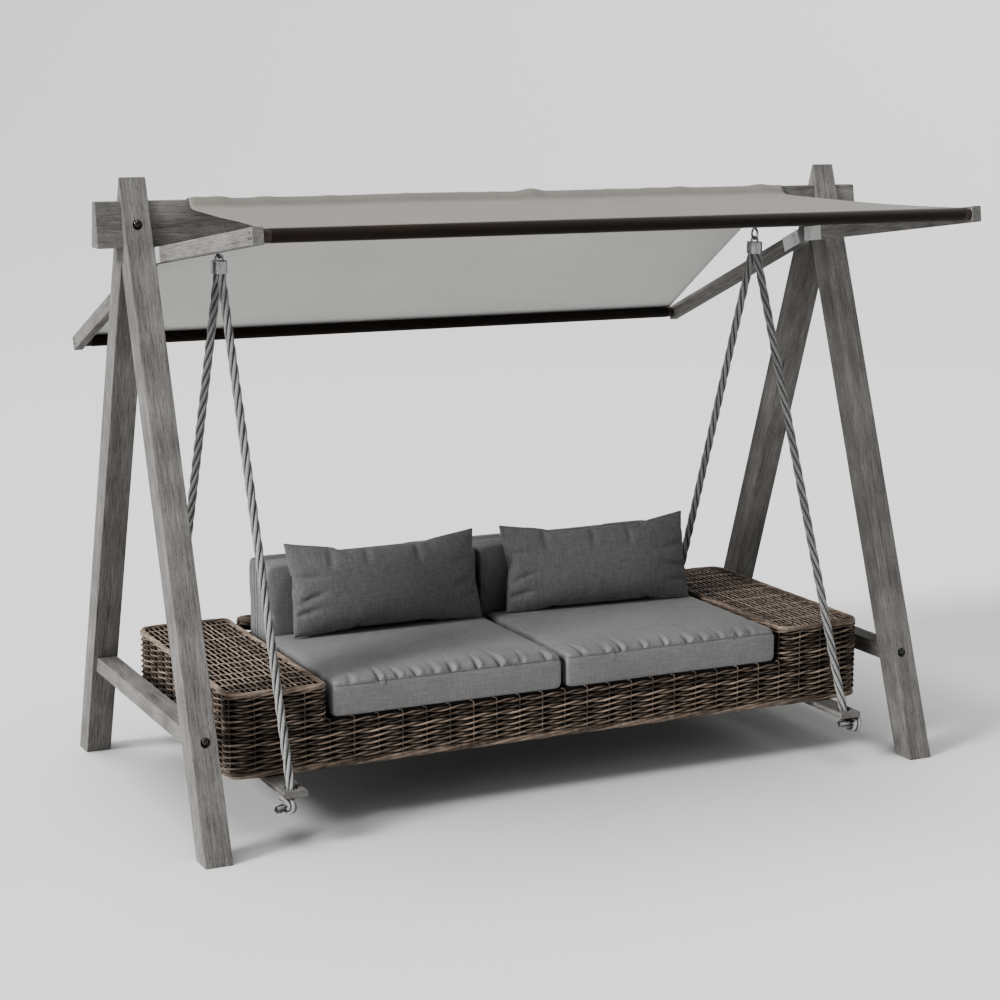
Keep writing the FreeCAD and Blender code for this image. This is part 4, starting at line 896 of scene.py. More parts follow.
@dataclass
class WovenSofa:
    """Woven walls, arm tops, rims and back on the tube frame."""

    corner: float = 0.060
    inner_corner: float = 0.030
    plane: float = 0.0045
    row_pitch: float = 0.0195
    first_row: float = 0.034
    base_rows: int = 7
    base_stakes: int = 78
    arm_rows: int = 6
    arm_stakes: int = 30
    border: float = 0.0125
    liner_inset: float = 0.0125
    liner_wall: float = 0.0015
    top_row_pitch: float = 0.0192
    top_rows: int = 15
    top_row_strand: float = 0.0044
    top_stake_pitch: float = 0.067
    top_stakes: int = 14
    top_stake_strand: float = 0.0060
    top_wave: float = 0.0016
    top_flatness: float = 0.42
    back_stakes: int = 20
    twining: Twining = None

    def __post_init__(self) -> None:
        """Reads the sofa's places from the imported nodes."""
        self.twining = self.twining or Twining()
        self.floor = room("wicker_band_front")[0].z
        self.deck = room("wicker_band_front")[1].z
        self.arm_low, self.arm_high = room("arm_top_right")
        rim_low, rim_high = room("arm_rim_right")
        self.rim_z = rim_high.z - 0.7 * (rim_high.z - rim_low.z) / 2
        self.rim_radius = 0.7 * (rim_high.z - rim_low.z) / 2
        panel_low = room("arm_inner_panel_right")[0]
        shell_high = room("arm_shell_right")[1]
        proud = shell_high.y - room("wicker_band_rear")[1].y
        outer = shell_high - Vector((1, 1, 0)) * (proud + 0.004)
        self.inner_x = panel_low.x
        self.outer_x = outer.x
        self.half_depth = outer.y

    def base_plan(self, inset: float) -> RoundPlan:
        """The plan of the whole sofa."""
        corner = Vector((self.outer_x, self.half_depth, 0))
        return RoundPlan(-corner, corner, self.corner, self.corner, inset)

    def arm_plan(self, side: int, inset: float) -> RoundPlan:
        """The plan of one arm."""
        inner, outer = sorted((side * self.inner_x, side * self.outer_x))
        corners = (self.corner, self.inner_corner) if side < 0 else (self.inner_corner, self.corner)
        low = Vector((inner, -self.half_depth, 0))
        high = Vector((outer, self.half_depth, 0))
        return RoundPlan(low, high, *corners, inset)

    def plan_stations(self, plan: RoundPlan, stakes: int, z: float, start: float) -> list[Station]:
        """Places round a plan at one height.

        Args:
            plan: the closed plan.
            stakes: how many stakes it has.
            z: the height.
            start: where along the plan the first stake is.

        Returns:
            The row's stations.
        """
        count = stakes * self.twining.steps
        stations = []
        for index in range(count):
            point, outward = plan.at(start + plan.length * index / count)
            point.z = z
            stations.append(Station(point, outward, UP, index / self.twining.steps))
        return stations

    def base(self) -> None:
        """The rows that run all round under the seat, their stakes and the rolled border."""
        bundle = StrandBundle("base_weave", 8, 11)
        plan = self.base_plan(self.plane)
        for row in range(self.base_rows):
            z = self.floor + self.first_row + row * self.row_pitch
            self.twining.row(bundle, self.plan_stations(plan, self.base_stakes, z, 0.0), True)
        top = self.floor + self.first_row + (self.base_rows - 1) * self.row_pitch
        for stake in range(self.base_stakes):
            point, outward = plan.at(plan.length * stake / self.base_stakes)
            beside = Vector((outward.y, -outward.x, 0))
            foot = point + UP * (self.floor + self.border)
            bend = point + UP * (top + 0.010)
            tip = point + UP * (top + 0.0165) + beside * 0.004
            end = point + UP * (top + 0.0185) + beside * 0.013
            under_arm = abs(point.x) > self.inner_x
            points = [foot, bend] if under_arm else [foot, bend, tip, end]
            # Painted shade: the stakes are darkened to 0.35 shade, as they stand behind the rows.
            bundle.add(points, self.twining.stake, False, [0.35] * len(points))
        piece = add_piece("base_weave", bundle.mesh(), [CANE], "seat")
        shells = [f"arm_shell_{side_name}" for side_name in SIDES]
        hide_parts("wicker_band_front", "wicker_band_rear", *shells)
        bundle = StrandBundle("base_border", 10, 12)
        self.roll(bundle, self.base_plan(0.0085), self.floor + self.border, self.border, 4, 15)
        add_piece("base_border", bundle.mesh(), [CANE], "seat")

    def roll(
        self, bundle: StrandBundle, plan: RoundPlan, z: float, radius: float, strands: int, turns: int
    ) -> None:
        """Strands laid side by side round a closed plan, turning slowly about its line.

        Args:
            bundle: takes the strands.
            plan: the line's plan.
            z: the line's height.
            radius: the roll's outer radius.
            strands: how many strands make the roll.
            turns: how often they turn about the line on the way round.
        """
        strand = radius * math.sin(math.pi / strands) / (1 + math.sin(math.pi / strands)) * 1.12
        count = round(plan.length / 0.014)
        for index in range(strands):
            points = []
            for step in range(count):
                point, outward = plan.at(plan.length * step / count)
                angle = 2 * math.pi * (index / strands + turns * step / count)
                offset = outward * math.cos(angle) + UP * math.sin(angle)
                points.append(point + UP * z + offset * (radius - strand))
            bundle.add(points, strand, True)

    def arm(self, side_name: str) -> None:
        """The upper rows of one arm, its open top, its rim and its stakes."""
        side = SIDES[side_name]
        bundle = StrandBundle("arm_weave", 8, 20 + side)
        plan = self.arm_plan(side, self.plane)
        pitch = self.base_plan(self.plane).length / self.base_stakes
        middle_x = side * (self.inner_x + self.outer_x) / 2
        start = round(middle_x / pitch) * pitch - middle_x
        first = self.floor + self.first_row + self.base_rows * self.row_pitch
        for row in range(self.arm_rows):
            stations = self.plan_stations(plan, self.arm_stakes, first + row * self.row_pitch, start)
            self.twining.row(bundle, stations, True)
        for stake in range(self.arm_stakes):
            point, _ = plan.at(start + plan.length * stake / self.arm_stakes)
            foot = point + UP * (first - self.row_pitch)
            # Painted shade: the arm stakes are darkened to 0.35 shade, as they stand behind the rows.
            bundle.add([foot, point + UP * self.rim_z], self.twining.stake, False, [0.35, 0.35])
        piece = add_piece(f"arm_weave_{side_name}", bundle.mesh(), [CANE], "seat")
        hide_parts(f"arm_inner_panel_{side_name}")
        bundle = StrandBundle("arm_rim", 10, 30 + side)
        self.roll(bundle, self.arm_plan(side, self.rim_radius - 0.004), self.rim_z, self.rim_radius, 5, 6)
        # The rim takes the lighter cane: painted light on the arm's top.
        piece = add_piece(f"arm_rim_roll_{side_name}", bundle.mesh(), [PAINTED_LIGHT_CANE], "seat")
        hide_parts(f"arm_rim_{side_name}")
        self.arm_top(side_name)

    def arm_top(self, side_name: str) -> None:
        """A flat lattice inside the rim: strands from front to rear, woven through cross strands, in the lighter cane
        that is painted light.
        """
        bundle = StrandBundle("arm_top", 8, 40 + SIDES[side_name])
        low, high = room(f"arm_top_{side_name}")
        margin = Vector((1, 1, 0)) * self.rim_radius
        low, high = low - margin, high + margin
        middle = (low + high) / 2
        middle.z = self.rim_z + 0.002
        for row in range(self.top_rows):
            x = (row - (self.top_rows - 1) / 2) * self.top_row_pitch
            points = []
            for y in np.linspace(low.y - middle.y, high.y - middle.y, self.top_stakes * 6):
                at = y / self.top_stake_pitch + (self.top_stakes - 1) / 2
                wave = self.top_wave * math.cos(math.pi * (at + row))
                points.append(middle + Vector((x, y, wave)))
            bundle.add(points, self.top_row_strand)
        for stake in range(self.top_stakes):
            y = (stake - (self.top_stakes - 1) / 2) * self.top_stake_pitch
            points = []
            for x in np.linspace(low.x - middle.x, high.x - middle.x, self.top_rows * 4):
                at = x / self.top_row_pitch + (self.top_rows - 1) / 2
                wave = -self.top_wave * math.cos(math.pi * (at + stake))
                points.append(middle + Vector((x, y, wave)))
            bundle.add(points, self.top_stake_strand)
        mesh = bundle.mesh()
        places = points_of(mesh)
        places[:, 2] = middle.z + (places[:, 2] - middle.z) * self.top_flatness
        mesh.vertices.foreach_set("co", places.ravel())
        # The lattice takes the lighter cane: painted light on the arm's top.
        piece = add_piece(f"arm_top_weave_{side_name}", mesh, [PAINTED_LIGHT_CANE], "seat")
        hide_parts(f"arm_top_{side_name}")

    def straight_rows(
        self, bundle: StrandBundle, rows: Iterable[Vector], half: float, stakes: int, outward: Vector
    ) -> None:
        """Rows from left to right.

        Args:
            bundle: takes the strands.
            rows: the middle of each row.
            half: half a row's length.
            stakes: how many stakes it crosses.
            outward: the way out of its surface.
        """
        steps = self.twining.steps
        across = outward.cross(Vector((1, 0, 0)))
        for middle in rows:
            stations = []
            for index in range((stakes - 1) * steps + 1):
                x = -half + 2 * half * index / ((stakes - 1) * steps)
                stations.append(Station(middle + Vector((x, 0, 0)), outward, across, index / steps))
            self.twining.row(bundle, stations, False)

    def back(self) -> None:
        """The low back with its rolled rail, and the ledge behind it."""
        low, high = room("back_panel")
        rail_low, rail_high = room("back_rail")
        middle = (low + high) / 2
        bundle = StrandBundle("back_weave", 8, 51)
        rows = [Vector((0, middle.y, low.z + 0.010 + row * self.row_pitch)) for row in range(5)]
        half = high.x - 0.005
        self.straight_rows(bundle, rows, half, self.back_stakes, Vector((0, 1, 0)))
        for stake in range(self.back_stakes):
            x = -half + 2 * half * stake / (self.back_stakes - 1)
            foot = Vector((x, middle.y, low.z))
            bundle.add([foot, Vector((x, middle.y, rail_low.z + 0.01))], self.twining.stake)
        ledge = room("wicker_band_rear")
        depth = ledge[1].y - 0.012
        rows = [Vector((0, depth - row * self.row_pitch, ledge[1].z - 0.007)) for row in range(3)]
        self.straight_rows(bundle, rows, self.inner_x, self.back_stakes, UP)
        piece = add_piece("back_weave", bundle.mesh(), [CANE], "seat")
        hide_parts("back_panel")
        bundle = StrandBundle("back_rail", 10, 52)
        centre = (rail_low + rail_high) / 2
        self.rail(bundle, centre, rail_high.x + 0.022, (rail_high.z - rail_low.z) / 2, 8, 5.0)
        piece = add_piece("back_rail_roll", bundle.mesh(), [CANE], "seat")
        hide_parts("back_rail")

    def rail(
        self, bundle: StrandBundle, centre: Vector, half: float, radius: float, strands: int, turns: float
    ) -> None:
        """Strands laid round a level rail, drawn together at its two ends.

        Args:
            bundle: takes the strands.
            centre: the rail's middle.
            half: half its length.
            radius: its outer radius.
            strands: how many strands it has.
            turns: how often they turn about the rail.
        """
        strand = radius * math.sin(math.pi / strands) / (1 + math.sin(math.pi / strands)) * 1.12
        steps = 140
        for index in range(strands):
            points = []
            for step in range(steps + 1):
                share = step / steps
                x = -half + strand + 2 * (half - strand) * share
                inward = min(1.0, (half - abs(x)) / (radius * 0.9))
                spread = (radius - strand) * math.sqrt(max(0.02, 1 - (1 - inward) ** 2))
                angle = 2 * math.pi * (index / strands + turns * share)
                points.append(centre + Vector((x, spread * math.cos(angle), spread * math.sin(angle))))
            bundle.add(points, strand)
        bundle.add([centre + Vector((x, 0, 0)) for x in (-half + 0.012, half - 0.012)], radius - strand)

    def liners(self) -> None:
        """Near-black sheets inside the woven walls: painted shade for the shadowed inside that shows through the
        weave.
        """
        for side_name, side in SIDES.items():
            work = bmesh.new()
            self.backing(work, self.arm_plan(side, self.liner_inset), self.rim_z)
            piece = add_piece(f"arm_backing_{side_name}", mesh_from("backing", work), [PAINTED_SHADE_LINER], "seat")
        work = bmesh.new()
        for end in ENDS.values():
            y = end * (self.half_depth - self.liner_inset)
            reach = self.inner_x + self.inner_corner + 0.004
            ends = [Vector((x, y, self.floor + 0.002)) for x in (-reach, reach)]
            edge = work.edges.new([work.verts.new(point) for point in ends])
            raised = bmesh.ops.extrude_edge_only(work, edges=[edge])["geom"]
            corners = [item for item in raised if isinstance(item, bmesh.types.BMVert)]
            bmesh.ops.translate(work, verts=corners, vec=UP * (self.deck - self.floor - 0.0018))
        low, high = room("deck_slats")
        corners = [(-self.inner_x, low.y), (self.inner_x, low.y), (self.inner_x, high.y), (-self.inner_x, high.y)]
        work.faces.new([work.verts.new((x, y, low.z - 0.0012)) for x, y in corners])
        bmesh.ops.recalc_face_normals(work, faces=work.faces)
        bmesh.ops.solidify(work, geom=work.faces[:], thickness=self.liner_wall)
        piece = add_piece("band_backing", mesh_from("backing", work, False), [PAINTED_SHADE_LINER], "seat")

    def backing(self, work: bmesh.types.BMesh, plan: RoundPlan, top: float) -> None:
        """Draws a plan up into a thin wall.

        Args:
            work: takes the wall.
            plan: the wall's plan.
            top: the height of its upper edge.
        """
        count = 96
        ring = [work.verts.new(plan.at(plan.length * index / count)[0]) for index in range(count)]
        bmesh.ops.translate(work, verts=ring, vec=UP * (self.floor + 0.002))
        edges = [work.edges.new((ring[index - 1], ring[index])) for index in range(count)]
        raised = bmesh.ops.extrude_edge_only(work, edges=edges)["geom"]
        corners = [item for item in raised if isinstance(item, bmesh.types.BMVert)]
        bmesh.ops.translate(work, verts=corners, vec=UP * (top - self.floor - 0.004))
        bmesh.ops.recalc_face_normals(work, faces=work.faces)
        bmesh.ops.solidify(work, geom=work.faces[:], thickness=self.liner_wall)

    def build(self) -> None:
        """Makes every woven piece."""
        self.base()
        for side_name in SIDES:
            self.arm(side_name)
        self.back()
        self.liners()


# Cushions

@dataclass
class SoftBlock:
    """A padded piece while it is being stuffed."""

    node: str
    piece: bpy.types.Object
    start: np.ndarray | None = None


def normals_of(mesh: bpy.types.Mesh) -> np.ndarray:
    """A mesh's normals at its points, one row each."""
    flat = np.zeros(len(mesh.vertices) * 3, np.float32)
    mesh.vertex_normals.foreach_get("vector", flat)
    return flat.reshape(-1, 3).astype(float)


def eased(mesh: bpy.types.Mesh, values: np.ndarray, rounds: int) -> np.ndarray:
    """Evens values out along a mesh's edges.

    Args:
        mesh: the mesh.
        values: a row for each of its points.
        rounds: how often each row becomes the mean of itself and its neighbours.

    Returns:
        The evened rows.
    """
    pairs = np.zeros(len(mesh.edges) * 2, np.int32)
    mesh.edges.foreach_get("vertices", pairs)
    first, second = pairs.reshape(-1, 2).T
    count = np.bincount(pairs, minlength=len(values)) + 1.0
    for _ in range(rounds):
        total = values.copy()
        for axis in range(values.shape[1]):
            total[:, axis] += np.bincount(first, values[second, axis], len(values))
            total[:, axis] += np.bincount(second, values[first, axis], len(values))
        values = total / count[:, None]
    return values


def move_points(mesh: bpy.types.Mesh, places: np.ndarray) -> None:
    """Gives a mesh new places for its points."""
    mesh.vertices.foreach_set("co", places.astype(np.float32).ravel())
    mesh.update()


def shown_mesh(piece: bpy.types.Object) -> bpy.types.Mesh:
    """A new mesh of a piece with its modifiers applied."""
    graph = bpy.context.evaluated_depsgraph_get()
    return bpy.data.meshes.new_from_object(piece.evaluated_get(graph))


@dataclass
class Cushions:
    """Two boxed seat cushions, two boxed back cushions and two knife-edged pillows."""

    voxel: float = 0.009
    shrink: float = 0.995
    pressure: float = 1.2
    pillow_pressure: float = 2.7
    frames: int = 20
    cap: float = 0.008
    calm_rounds: int = 34
    stitch: float = 0.0016
    boxing: float = 0.104
    back_seam: float = 0.56
    seam_width: float = 0.007
    seam_depth: float = 0.0025
    lower_seam: float = 0.004
    pleat_depth: float = 0.0125
    pleat_length: float = 0.090
    shoulder: float = 0.060
    tape: float = 0.013
    back_sag: float = 0.020
    pillow_size: tuple[float, float] = (0.740, 0.332)
    pillow_thick: float = 0.150
    pillow_shift: float = -0.016
    pillow_back: float = 0.006
    crease: float = 0.011
    pillow_gap: float = 0.010
    pillow_grid: tuple[int, int] = (84, 38)
    pillow_turns: dict[str, Triple] = None

    def __post_init__(self) -> None:
        """Sets the pillows' roll, lean and turn in degrees."""
        self.pillow_turns = self.pillow_turns or {"left": (-0.8, 16.0, 2.4), "right": (0.0, 14.0, -4.2)}

    def block(self, node: str) -> SoftBlock:
        """A remeshed copy of a boxed cushion, drawn in a little."""
        work = bmesh.new()
        work.from_mesh(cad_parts[node].data)
        bmesh.ops.remove_doubles(work, verts=work.verts, dist=1e-5)
        low, high = room(node)
        middle = (low + high) / 2
        about = Matrix.Translation(-middle)
        bmesh.ops.scale(work, verts=work.verts, vec=Vector((1, 1, 1)) * self.shrink, space=about)
        piece = bpy.data.objects.new(f"{node}_linen", mesh_from(node, work))
        bpy.context.scene.collection.objects.link(piece)
        remesh = piece.modifiers.new("even", "REMESH")
        remesh.mode = "VOXEL"
        remesh.voxel_size = self.voxel
        piece.data = shown_mesh(piece)
        piece.modifiers.clear()
        return SoftBlock(node, piece)

    def pillow_blank(self, side_name: str) -> SoftBlock:
        """A flat two-layer pillow cover, lying on its face at the origin."""
        work = bmesh.new()
        columns, rows = self.pillow_grid
        bmesh.ops.create_grid(work, x_segments=columns, y_segments=rows, size=0.5)
        bmesh.ops.scale(work, verts=work.verts, vec=(*self.pillow_size, 1.0))
        bmesh.ops.solidify(work, geom=work.faces[:], thickness=self.pillow_gap)
        bmesh.ops.recalc_face_normals(work, faces=work.faces)
        piece = bpy.data.objects.new(f"pillow_{side_name}_linen", mesh_from("pillow", work))
        bpy.context.scene.collection.objects.link(piece)
        return SoftBlock(f"pillow_{side_name}", piece)

    def stuff(self, blocks: Sequence[SoftBlock]) -> None:
        """Blows the covers up as cloth, and keeps the result.

        Args:
            blocks: the covers, stuffed side by side.
        """
        for block in blocks:
            block.start = points_of(block.piece.data)
            cloth = block.piece.modifiers.new("cloth", "CLOTH")
            pillow = block.node.startswith("pillow")
            cloth.settings.quality = 6
            cloth.settings.mass = 0.25
            cloth.settings.tension_stiffness = 22.0
            cloth.settings.compression_stiffness = 14.0
            cloth.settings.shear_stiffness = 6.0
            cloth.settings.bending_stiffness = 0.35 if pillow else 0.8
            cloth.settings.air_damping = 1.5
            cloth.settings.use_pressure = True
            cloth.settings.uniform_pressure_force = self.pillow_pressure if pillow else self.pressure
            cloth.settings.effector_weights.gravity = 0.0
            cloth.point_cache.frame_start = 1
            cloth.point_cache.frame_end = self.frames
        scene = bpy.context.scene
        for step in range(1, self.frames + 1):
            scene.frame_set(step)
        for block in blocks:
            swollen = shown_mesh(block.piece)
            block.piece.modifiers.clear()
            places = points_of(swollen)
            if not block.node.startswith("pillow"):
                moved = places - block.start
                reach = np.linalg.norm(moved, axis=1, keepdims=True)
                places = block.start + moved * np.minimum(1.0, self.cap / np.maximum(reach, 1e-9))
            move_points(swollen, places)
            block.piece.data = swollen
        scene.frame_set(1)

    def refine(self, piece: bpy.types.Object) -> None:
        """Doubles a piece's mesh once, smoothly."""
        smooth = piece.modifiers.new("smooth", "SUBSURF")
        smooth.levels = 1
        smooth.render_levels = 1
        piece.data = shown_mesh(piece)
        piece.modifiers.clear()

    def calm(self, mesh: bpy.types.Mesh) -> None:
        """Evens out the small folds that the stuffing leaves in a boxed cover."""
        move_points(mesh, eased(mesh, points_of(mesh).astype(float), self.calm_rounds))

    def fit(self, block: SoftBlock, margin: float) -> None:
        """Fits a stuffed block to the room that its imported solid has; back cushions sag at the top."""
        low, high = (np.array(corner) for corner in room(block.node))
        if block.node.startswith("back"):
            high[2] -= self.back_sag
        places = points_of(block.piece.data)
        mine_low, mine_high = places.min(0), places.max(0)
        stretch = (high - low - 2 * margin) / (mine_high - mine_low)
        move_points(block.piece.data, low + margin + (places - mine_low) * stretch)

    def square(self, block: SoftBlock, pulls: Sequence[tuple[float, float]]) -> None:
        """Draws a block's faces out towards its box, so that its boxed edges stay firm.

        Args:
            block: the stuffed piece.
            pulls: for each axis, how much of the way the low and the high face go.
        """
        places = points_of(block.piece.data).astype(float)
        normals = normals_of(block.piece.data)
        low, high = places.min(0), places.max(0)
        shift = np.zeros_like(places)
        for axis, (down, up) in enumerate(pulls):
            fall = np.clip(-normals[:, axis] / 0.6, 0, 1) * down
            rise = np.clip(normals[:, axis] / 0.6, 0, 1) * up
            shift[:, axis] = (high[axis] - places[:, axis]) * rise - (places[:, axis] - low[axis]) * fall
        move_points(block.piece.data, places + eased(block.piece.data, shift, 6))

    def crown(self, block: SoftBlock) -> None:
        """Gives a seat cushion a full top that rolls over a round shoulder down to its seam."""
        low, high = (np.array(corner) for corner in room(block.node))
        places = points_of(block.piece.data).astype(float)
        normals = normals_of(block.piece.data)
        seam = low[2] + self.boxing
        rise = high[2] - seam - 0.001
        plan = places[:, :2]
        edge = np.minimum(plan - low[:2], high[:2] - plan).min(1)
        roll = np.clip(edge / self.shoulder, 0, 1)
        middle = (2 * plan - low[:2] - high[:2]) / (high - low)[:2]
        dome = np.clip(1 - middle ** 2, 0, 1).prod(1)
        level = seam + rise * (0.74 * np.sqrt(1 - (1 - roll) ** 2) + 0.26 * dome)
        top = np.clip((normals[:, 2] - 0.15) / 0.3, 0, 1) * np.clip((places[:, 2] - seam + 0.006) / 0.006, 0, 1)
        lift = np.zeros_like(places)
        lift[:, 2] = (level - places[:, 2]) * top
        places += eased(block.piece.data, lift, 3)
        places = places + 0.6 * (eased(block.piece.data, places, 4) - places)
        move_points(block.piece.data, places)

    def seat_pleats(self, block: SoftBlock, seed: int) -> None:
        """Sews the seat cushion's seams, and gathers its front edge into small pleats."""
        dice = random.Random(seed)
        low, high = room(block.node)
        places = points_of(block.piece.data).astype(float)
        normals = normals_of(block.piece.data)
        seam = low.z + self.boxing
        groove = self.seam_depth * np.exp(-((places[:, 2] - seam) / self.seam_width) ** 2)
        groove *= np.clip(1.4 - np.abs(normals[:, 2]) * 1.4, 0, 1)
        back = places[:, 1] - low.y
        above = np.clip((places[:, 2] - seam - 0.001) / 0.008, 0, 1)
        drop = np.zeros(len(places))
        x = low.x + 0.07
        while x < high.x - 0.05:
            width = dice.uniform(0.0075, 0.0115)
            depth = self.pleat_depth * dice.uniform(0.55, 1.1)
            slant = dice.uniform(-0.12, 0.22)
            reach = self.pleat_length * dice.uniform(0.7, 1.35)
            fade = np.clip(1 - back / reach, 0, 1) ** 1.1 + 0.14 * np.clip(1 - back / 0.26, 0, 1)
            off = places[:, 0] - x - slant * back
            drop += depth * fade * np.exp(-(off / width) ** 2)
            drop -= 0.5 * depth * fade * np.exp(-((off - 1.8 * width) / width) ** 2)
            x += dice.uniform(0.052, 0.098)
        places -= normals * groove[:, None]
        places[:, 1] += 0.5 * drop * above
        places[:, 2] -= 0.85 * drop * above
        move_points(block.piece.data, places)

    def welt(self, block: SoftBlock, level: float, upright: bool) -> list[Vector]:
        """A seam line round a stuffed block, found on its surface.

        Args:
            block: the stuffed piece.
            level: the height of the seam, or its depth where the block stands upright.
            upright: whether the seam runs round the block's front rather than round its top.

        Returns:
            Points of the closed seam line.
        """
        mesh = block.piece.data
        tree = BVHTree.FromPolygons([v.co for v in mesh.vertices], [p.vertices for p in mesh.polygons])
        low, high = room(block.node)
        swing = Matrix(((1, 0, 0), (0, 0, 1), (0, 1, 0))) if upright else Matrix.Identity(3)
        plan = RoundPlan(swing @ low, swing @ high, 0.05, 0.05, -0.04)
        count = round(plan.length / 0.006)
        line = []
        for index in range(count):
            point, outward = plan.at(plan.length * index / count)
            point.z = level
            hit = tree.ray_cast(swing @ point, -(swing @ outward), 0.12)[0]
            if hit is not None:
                line.append(hit + (swing @ outward) * 0.0003)
        return line

    def sew(self, block: SoftBlock) -> None:
        """Puts the seam cords round a boxed cushion."""
        low, high = room(block.node)
        upright = block.node.startswith("back")
        if upright:
            middle = low.y + self.back_seam * (high.y - low.y)
            levels = [middle - self.tape, middle + self.tape]
        else:
            levels = [low.z + self.boxing, low.z + self.lower_seam]
        bundle = StrandBundle(f"{block.node}_seams", 6, 80)
        for level in levels:
            bundle.add(self.welt(block, level, upright), self.stitch, True)
        piece = add_piece(f"{block.node}_seams", bundle.mesh(), [SEAM_LINEN], "seat")

    def finish(self, block: SoftBlock, linen: Finish, fill: float, slot: str) -> None:
        """Dresses a stuffed piece and puts it on the sofa."""
        mesh = block.piece.data
        mesh.polygons.foreach_set("use_smooth", [True] * len(mesh.polygons))
        mesh.materials.clear()
        mesh.materials.append(linen.material())
        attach(block.piece, "seat")
        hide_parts(block.node)
        log.info("%s: %d faces, stuffed", block.piece.name, len(mesh.polygons))

    def lean(self, block: SoftBlock, side_name: str) -> None:
        """Turns a stuffed pillow from its face on to the seat, against the back cushion."""
        places = points_of(block.piece.data).astype(float)
        spread = places.max(0) - places.min(0)
        places *= np.array([*self.pillow_size, self.pillow_thick]) / spread
        self.fill_out(places, 1, 0, (0.85, 0.08))
        self.fill_out(places, 0, 1, (0.30, 0.30))
        self.plump(places)
        self.dent(places, 90 + SIDES[side_name])
        roll, lean, turn = (math.radians(angle) for angle in self.pillow_turns[side_name])
        pose = Matrix.Rotation(turn, 3, "Z") @ Matrix.Rotation(math.pi / 2 - lean, 3, "X")
        pose = pose @ Matrix.Rotation(roll, 3, "Z")
        low, high = room(block.node)
        places = places @ np.array(pose).T + np.array((low + high) / 2)
        places[:, 0] += self.pillow_shift
        places[:, 1] += self.pillow_back
        places[:, 2] += low.z + 0.001 - places[:, 2].min()
        move_points(block.piece.data, places)

    def plump(self, places: np.ndarray) -> None:
        """Rounds a pillow's two faces, so that they fall off towards all four edges."""
        across, up = (np.abs(places[:, axis]) * 2 / self.pillow_size[axis] for axis in (0, 1))
        dome = (np.clip(1 - across ** 2.2, 0, 1) * np.clip(1 - up ** 2.4, 0, 1)) ** 0.7
        full = np.sign(places[:, 2]) * dome * self.pillow_thick / 2
        places[:, 2] += 0.65 * (full - places[:, 2])

    def dent(self, places: np.ndarray, seed: int) -> None:
        """Presses soft creases into the face of a pillow, in from its short edges and its top."""
        dice = random.Random(seed)
        half_long, half_high = (size / 2 for size in self.pillow_size)
        face = np.clip(places[:, 2] / 0.02, 0, 1)
        spots = [(side * (half_long - 0.055), y) for side in (-1, 1) for y in (-0.09, -0.03, 0.045)]
        creases = [(x + dice.uniform(-0.012, 0.012), y + dice.uniform(-0.012, 0.012), 0.050, 0.011) for x, y in spots]
        for x in (-0.21, -0.05, 0.14):
            creases.append((x + dice.uniform(-0.03, 0.03), half_high - 0.062, 0.016, 0.040))
        for x, y, long, high in creases:
            depth = self.crease * dice.uniform(0.6, 1.1)
            tilt = dice.uniform(-0.35, 0.35)
            across = (places[:, 0] - x) + tilt * (places[:, 1] - y)
            up = (places[:, 1] - y) - tilt * (places[:, 0] - x)
            places[:, 2] -= depth * face * np.exp(-(across / long) ** 2 - (up / high) ** 2)

    @staticmethod
    def fill_out(places: np.ndarray, axis: int, along: int, shares: tuple[float, float]) -> None:
        """Fills out the hollow of a pillow's two opposite edges.

        Args:
            places: the pillow's points, changed in place.
            axis: the axis across the two edges.
            along: the axis along them.
            shares: how much of the hollow of the low and of the high edge is filled.
        """
        reach = np.abs(places[:, along]).max()
        inner = np.clip((1 - np.abs(places[:, along]) / reach) / 0.16, 0, 1)
        bins = np.linspace(-reach, reach, 40)
        slot = np.clip(np.digitize(places[:, along], bins) - 1, 0, 39)
        for sign, share in zip((-1, 1), shares):
            edge = np.zeros(40)
            np.maximum.at(edge, slot, sign * places[:, axis])
            full = edge.max()
            hollow = np.interp(places[:, along], bins, np.where(edge < 0.7 * full, 0.0, full - edge))
            weight = np.clip(sign * places[:, axis] / full, 0, 1)
            places[:, axis] += sign * share * hollow * weight * inner

    def build(self) -> None:
        """Makes the six padded pieces."""
        boxed = [self.block(f"{kind}_cushion_{side}") for kind in ("seat", "back") for side in SIDES]
        pillows = [self.pillow_blank(side) for side in SIDES]
        self.stuff(boxed + pillows)
        for index, block in enumerate(boxed):
            self.refine(block.piece)
            self.calm(block.piece.data)
            self.fit(block, 0.001)
            if block.node.startswith("seat"):
                self.square(block, [(0.6, 0.6), (0.8, 0.6), (0.9, 0.0)])
                self.crown(block)
                self.seat_pleats(block, 70 + index)
            else:
                self.square(block, [(0.7, 0.7), (0.5, 0.4), (0.9, 0.55)])
            self.finish(block, CUSHION_LINEN, 0.8, "cushion_linen")
            self.sew(block)
        for block, side_name in zip(pillows, SIDES):
            self.refine(block.piece)
            self.lean(block, side_name)
            self.finish(block, PILLOW_LINEN, 0.7, "pillow_linen")


# Stage

